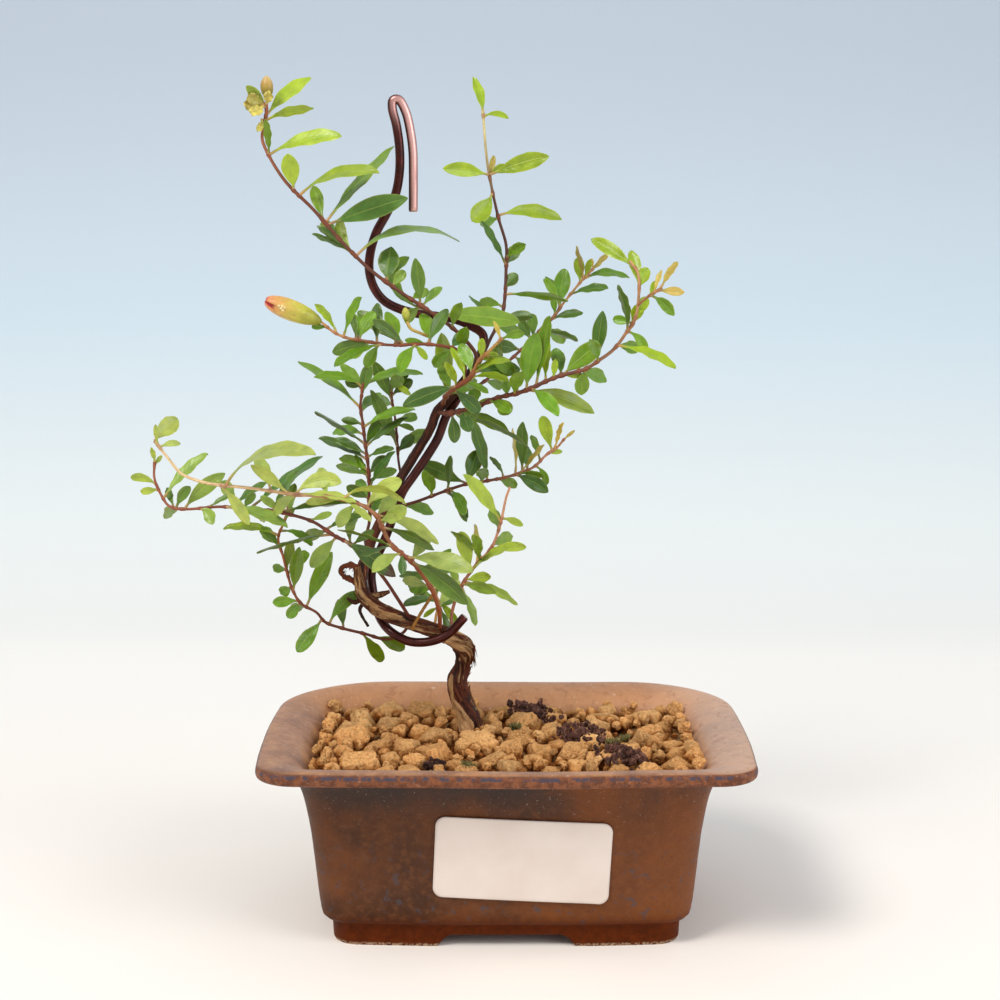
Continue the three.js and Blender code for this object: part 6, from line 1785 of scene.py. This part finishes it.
def bud_rings(bud, slit=None):
    axis = bud.tip - bud.base
    side = axis.orthogonal().normalized()
    other = axis.normalized().cross(side)
    rings = []
    for part, wide, spread in bud.profile:
        ring = []
        for k in range(bud.sides):
            angle = 2 * math.pi * k / bud.sides
            lobe = math.cos(bud.lobes * angle)
            reach = bud.radius * wide * (1 + 0.05 * lobe * smoothstep(0.1, 0.6, part))
            tint = bud_tint(bud, part, lobe)
            out = side * math.cos(angle) + other * math.sin(angle)
            if slit:
                opened = smoothstep(0.93, 0.97, out.dot(slit.facing))
                opened *= smoothstep(slit.start, slit.start + 0.06, part)
                tint = mixed(tint, slit.tint, opened)
                reach *= 1 - 0.25 * opened
            ring.append((bud.base + axis * (part + spread * lobe) + out * reach, tint, NO_MARK))
        rings.append(ring)
    return rings


def make_buds(skin, leaf, twig):
    shape = Shape()
    shape.loft(bud_rings(FLOWER_BUD, FLOWER_SLIT))
    draw = random_source(STAMEN_SEED)
    first = len(shape.points)
    for place in STAMENS:
        add_stone(shape, Vector(place), STAMEN_RADIUS, (1, 0.8, 0.8), tumbled(draw, 1), draw, 2, STAMEN)
    shape.tints[first:] = [(*STAMEN_TINT, 1.0)] * (len(shape.points) - first)
    make_piece("flower_bud_calyx", shape, [skin], "bud", "flower_bud")

    shape = Shape()
    shape.loft(bud_rings(TIP_BUD))
    draw = random_source(DRIED_SEED)
    for base, angle, lean, chord, width in DRIED_PETALS:
        plan = leaf_plan(Vector(base), angle, lean, chord, width, DRIED_AGE, DRIED_ARCH, 1)
        add_leaf(shape, plan, draw, plan.point, DRIED_TINT, DRIED_RUFFLE, 1)
    make_piece("tip_bud_calyx", shape, [skin, leaf], "bud", "tip_bud", sharp=LEAF_SHARP)

    shape = Shape()
    shape.loft(bud_rings(SIDE_BUD))

    def stalk_spot(row, angle, run, _):
        return row[3], SIDE_STALK_TINT, (math.cos(angle), math.sin(angle), run)

    shape.loft(tube_rings(smooth(SIDE_STALK, 0.4), 8, stalk_spot), 1)
    make_piece("side_bud", shape, [skin, twig], "bud")


# ---- studio ----------------------------------

# The backdrop in metres: where its floor starts and bends up, the bend's radius, its height and half width.
SWEEP = SimpleNamespace(front=-1.2, back=0.35, bend=0.45, height=1.6, half_width=2.2, steps=18)
# Its tones, by how far back and how high a place lies: partly the backdrop's own pale blue, partly painted
# shade darkening it towards the top.
SWEEP_SCALE, SWEEP_START = 0.7, 0.1
SWEEP_TONES = [
    (0.1, srgb(248, 240, 231)), (0.3, srgb(254, 250, 243)), (0.47, srgb(242, 246, 243)),
    (0.66, srgb(213, 228, 236)), (0.87, srgb(193, 204, 215)), (1.0, srgb(188, 198, 210)),
]
SKY_TINT = srgb(238, 242, 248)
SKY_STRENGTH = 0.62
# Soft lights: name, place in metres, size, power and colour. Both aim at the pot.
LIGHTS = [
    ("key", (-0.5, -0.55, 0.95), 0.4, 8.8, (1.0, 0.97, 0.93)),
    ("fill", (0.75, -0.5, 0.5), 0.6, 4.0, (0.97, 0.98, 1.0)),
]
LIGHT_AIM = Vector((0.01, 0, 0.08))
CAMERA_PLACE = Vector((-1.6, -441, 172.8))
CAMERA_PITCH = 8.1
CAMERA_LENS = 61.3
SENSOR_WIDTH = 36
CLIP_START = 0.01


def make_sweep():
    """A pale floor that curves up into a pale backdrop."""
    look = Look("studio_paper", Roughness=0.9, Specular_IOR_Level=0.1)
    _, behind, height = look.split(look.places(1.0))
    way = look.calc("MULTIPLY_ADD", look.calc("ADD", behind, height), SWEEP_SCALE, SWEEP_START)
    look.colour(look.ramp(way, *SWEEP_TONES))
    look.bump((look.noise(0.8, 2), 0.01))
    profile = [(SWEEP.front, 0), (SWEEP.back, 0)]
    for step in range(1, SWEEP.steps + 1):
        angle = math.radians(90 * step / SWEEP.steps)
        profile.append((SWEEP.back + SWEEP.bend * math.sin(angle), SWEEP.bend * (1 - math.cos(angle))))
    profile.append((SWEEP.back + SWEEP.bend, SWEEP.height))
    points = [(x, y, z) for y, z in profile for x in (-SWEEP.half_width, SWEEP.half_width)]
    faces = [(2 * i, 2 * i + 1, 2 * i + 3, 2 * i + 2) for i in range(len(profile) - 1)]
    mesh = bpy.data.meshes.new("studio_sweep")
    mesh.from_pydata(points, [], faces)
    mesh.polygons.foreach_set("use_smooth", [True] * len(faces))
    mesh.materials.append(look.material)
    placed("studio_sweep", mesh)


def make_lights():
    """A soft sky and soft lights."""
    world = bpy.data.worlds.new("studio_sky")
    bpy.context.scene.world = world
    world.use_nodes = True
    sky = world.node_tree.nodes["Background"]
    sky.inputs["Color"].default_value = (*SKY_TINT, 1)
    sky.inputs["Strength"].default_value = SKY_STRENGTH
    for name, place, size, power, colour in LIGHTS:
        data = bpy.data.lights.new(name, "AREA")
        data.size = size
        data.energy = power
        data.color = colour
        lamp = placed(name, data)
        lamp.location = place
        lamp.rotation_euler = (LIGHT_AIM - Vector(place)).to_track_quat("-Z", "Y").to_euler()


def make_camera():
    data = bpy.data.cameras.new("camera")
    data.lens = CAMERA_LENS
    data.sensor_width = SENSOR_WIDTH
    data.clip_start = CLIP_START
    camera = placed("camera", data)
    camera.location = (CAMERA_PLACE + SHIFT) * MM
    camera.rotation_euler = (math.radians(90 - CAMERA_PITCH), 0, 0)
    bpy.context.scene.camera = camera


bpy.context.scene.view_settings.view_transform = "Standard"
make_camera()
make_sweep()
make_lights()
make_pot(stoneware_look())
make_label(paper_look())
make_soil(akadama_look())
make_humus(humus_look())
make_moss(moss_look())
make_trunk(bark_look())
make_wire(wire_look())
leaf_material, twig_material = leaf_look(), twig_look()
make_sprays(leaf_material, twig_material)
make_buds(bud_look(), leaf_material, twig_material)
drain_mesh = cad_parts["drain_mesh"]
drain_mesh.data.materials.clear()
drain_mesh.data.materials.append(mesh_look())
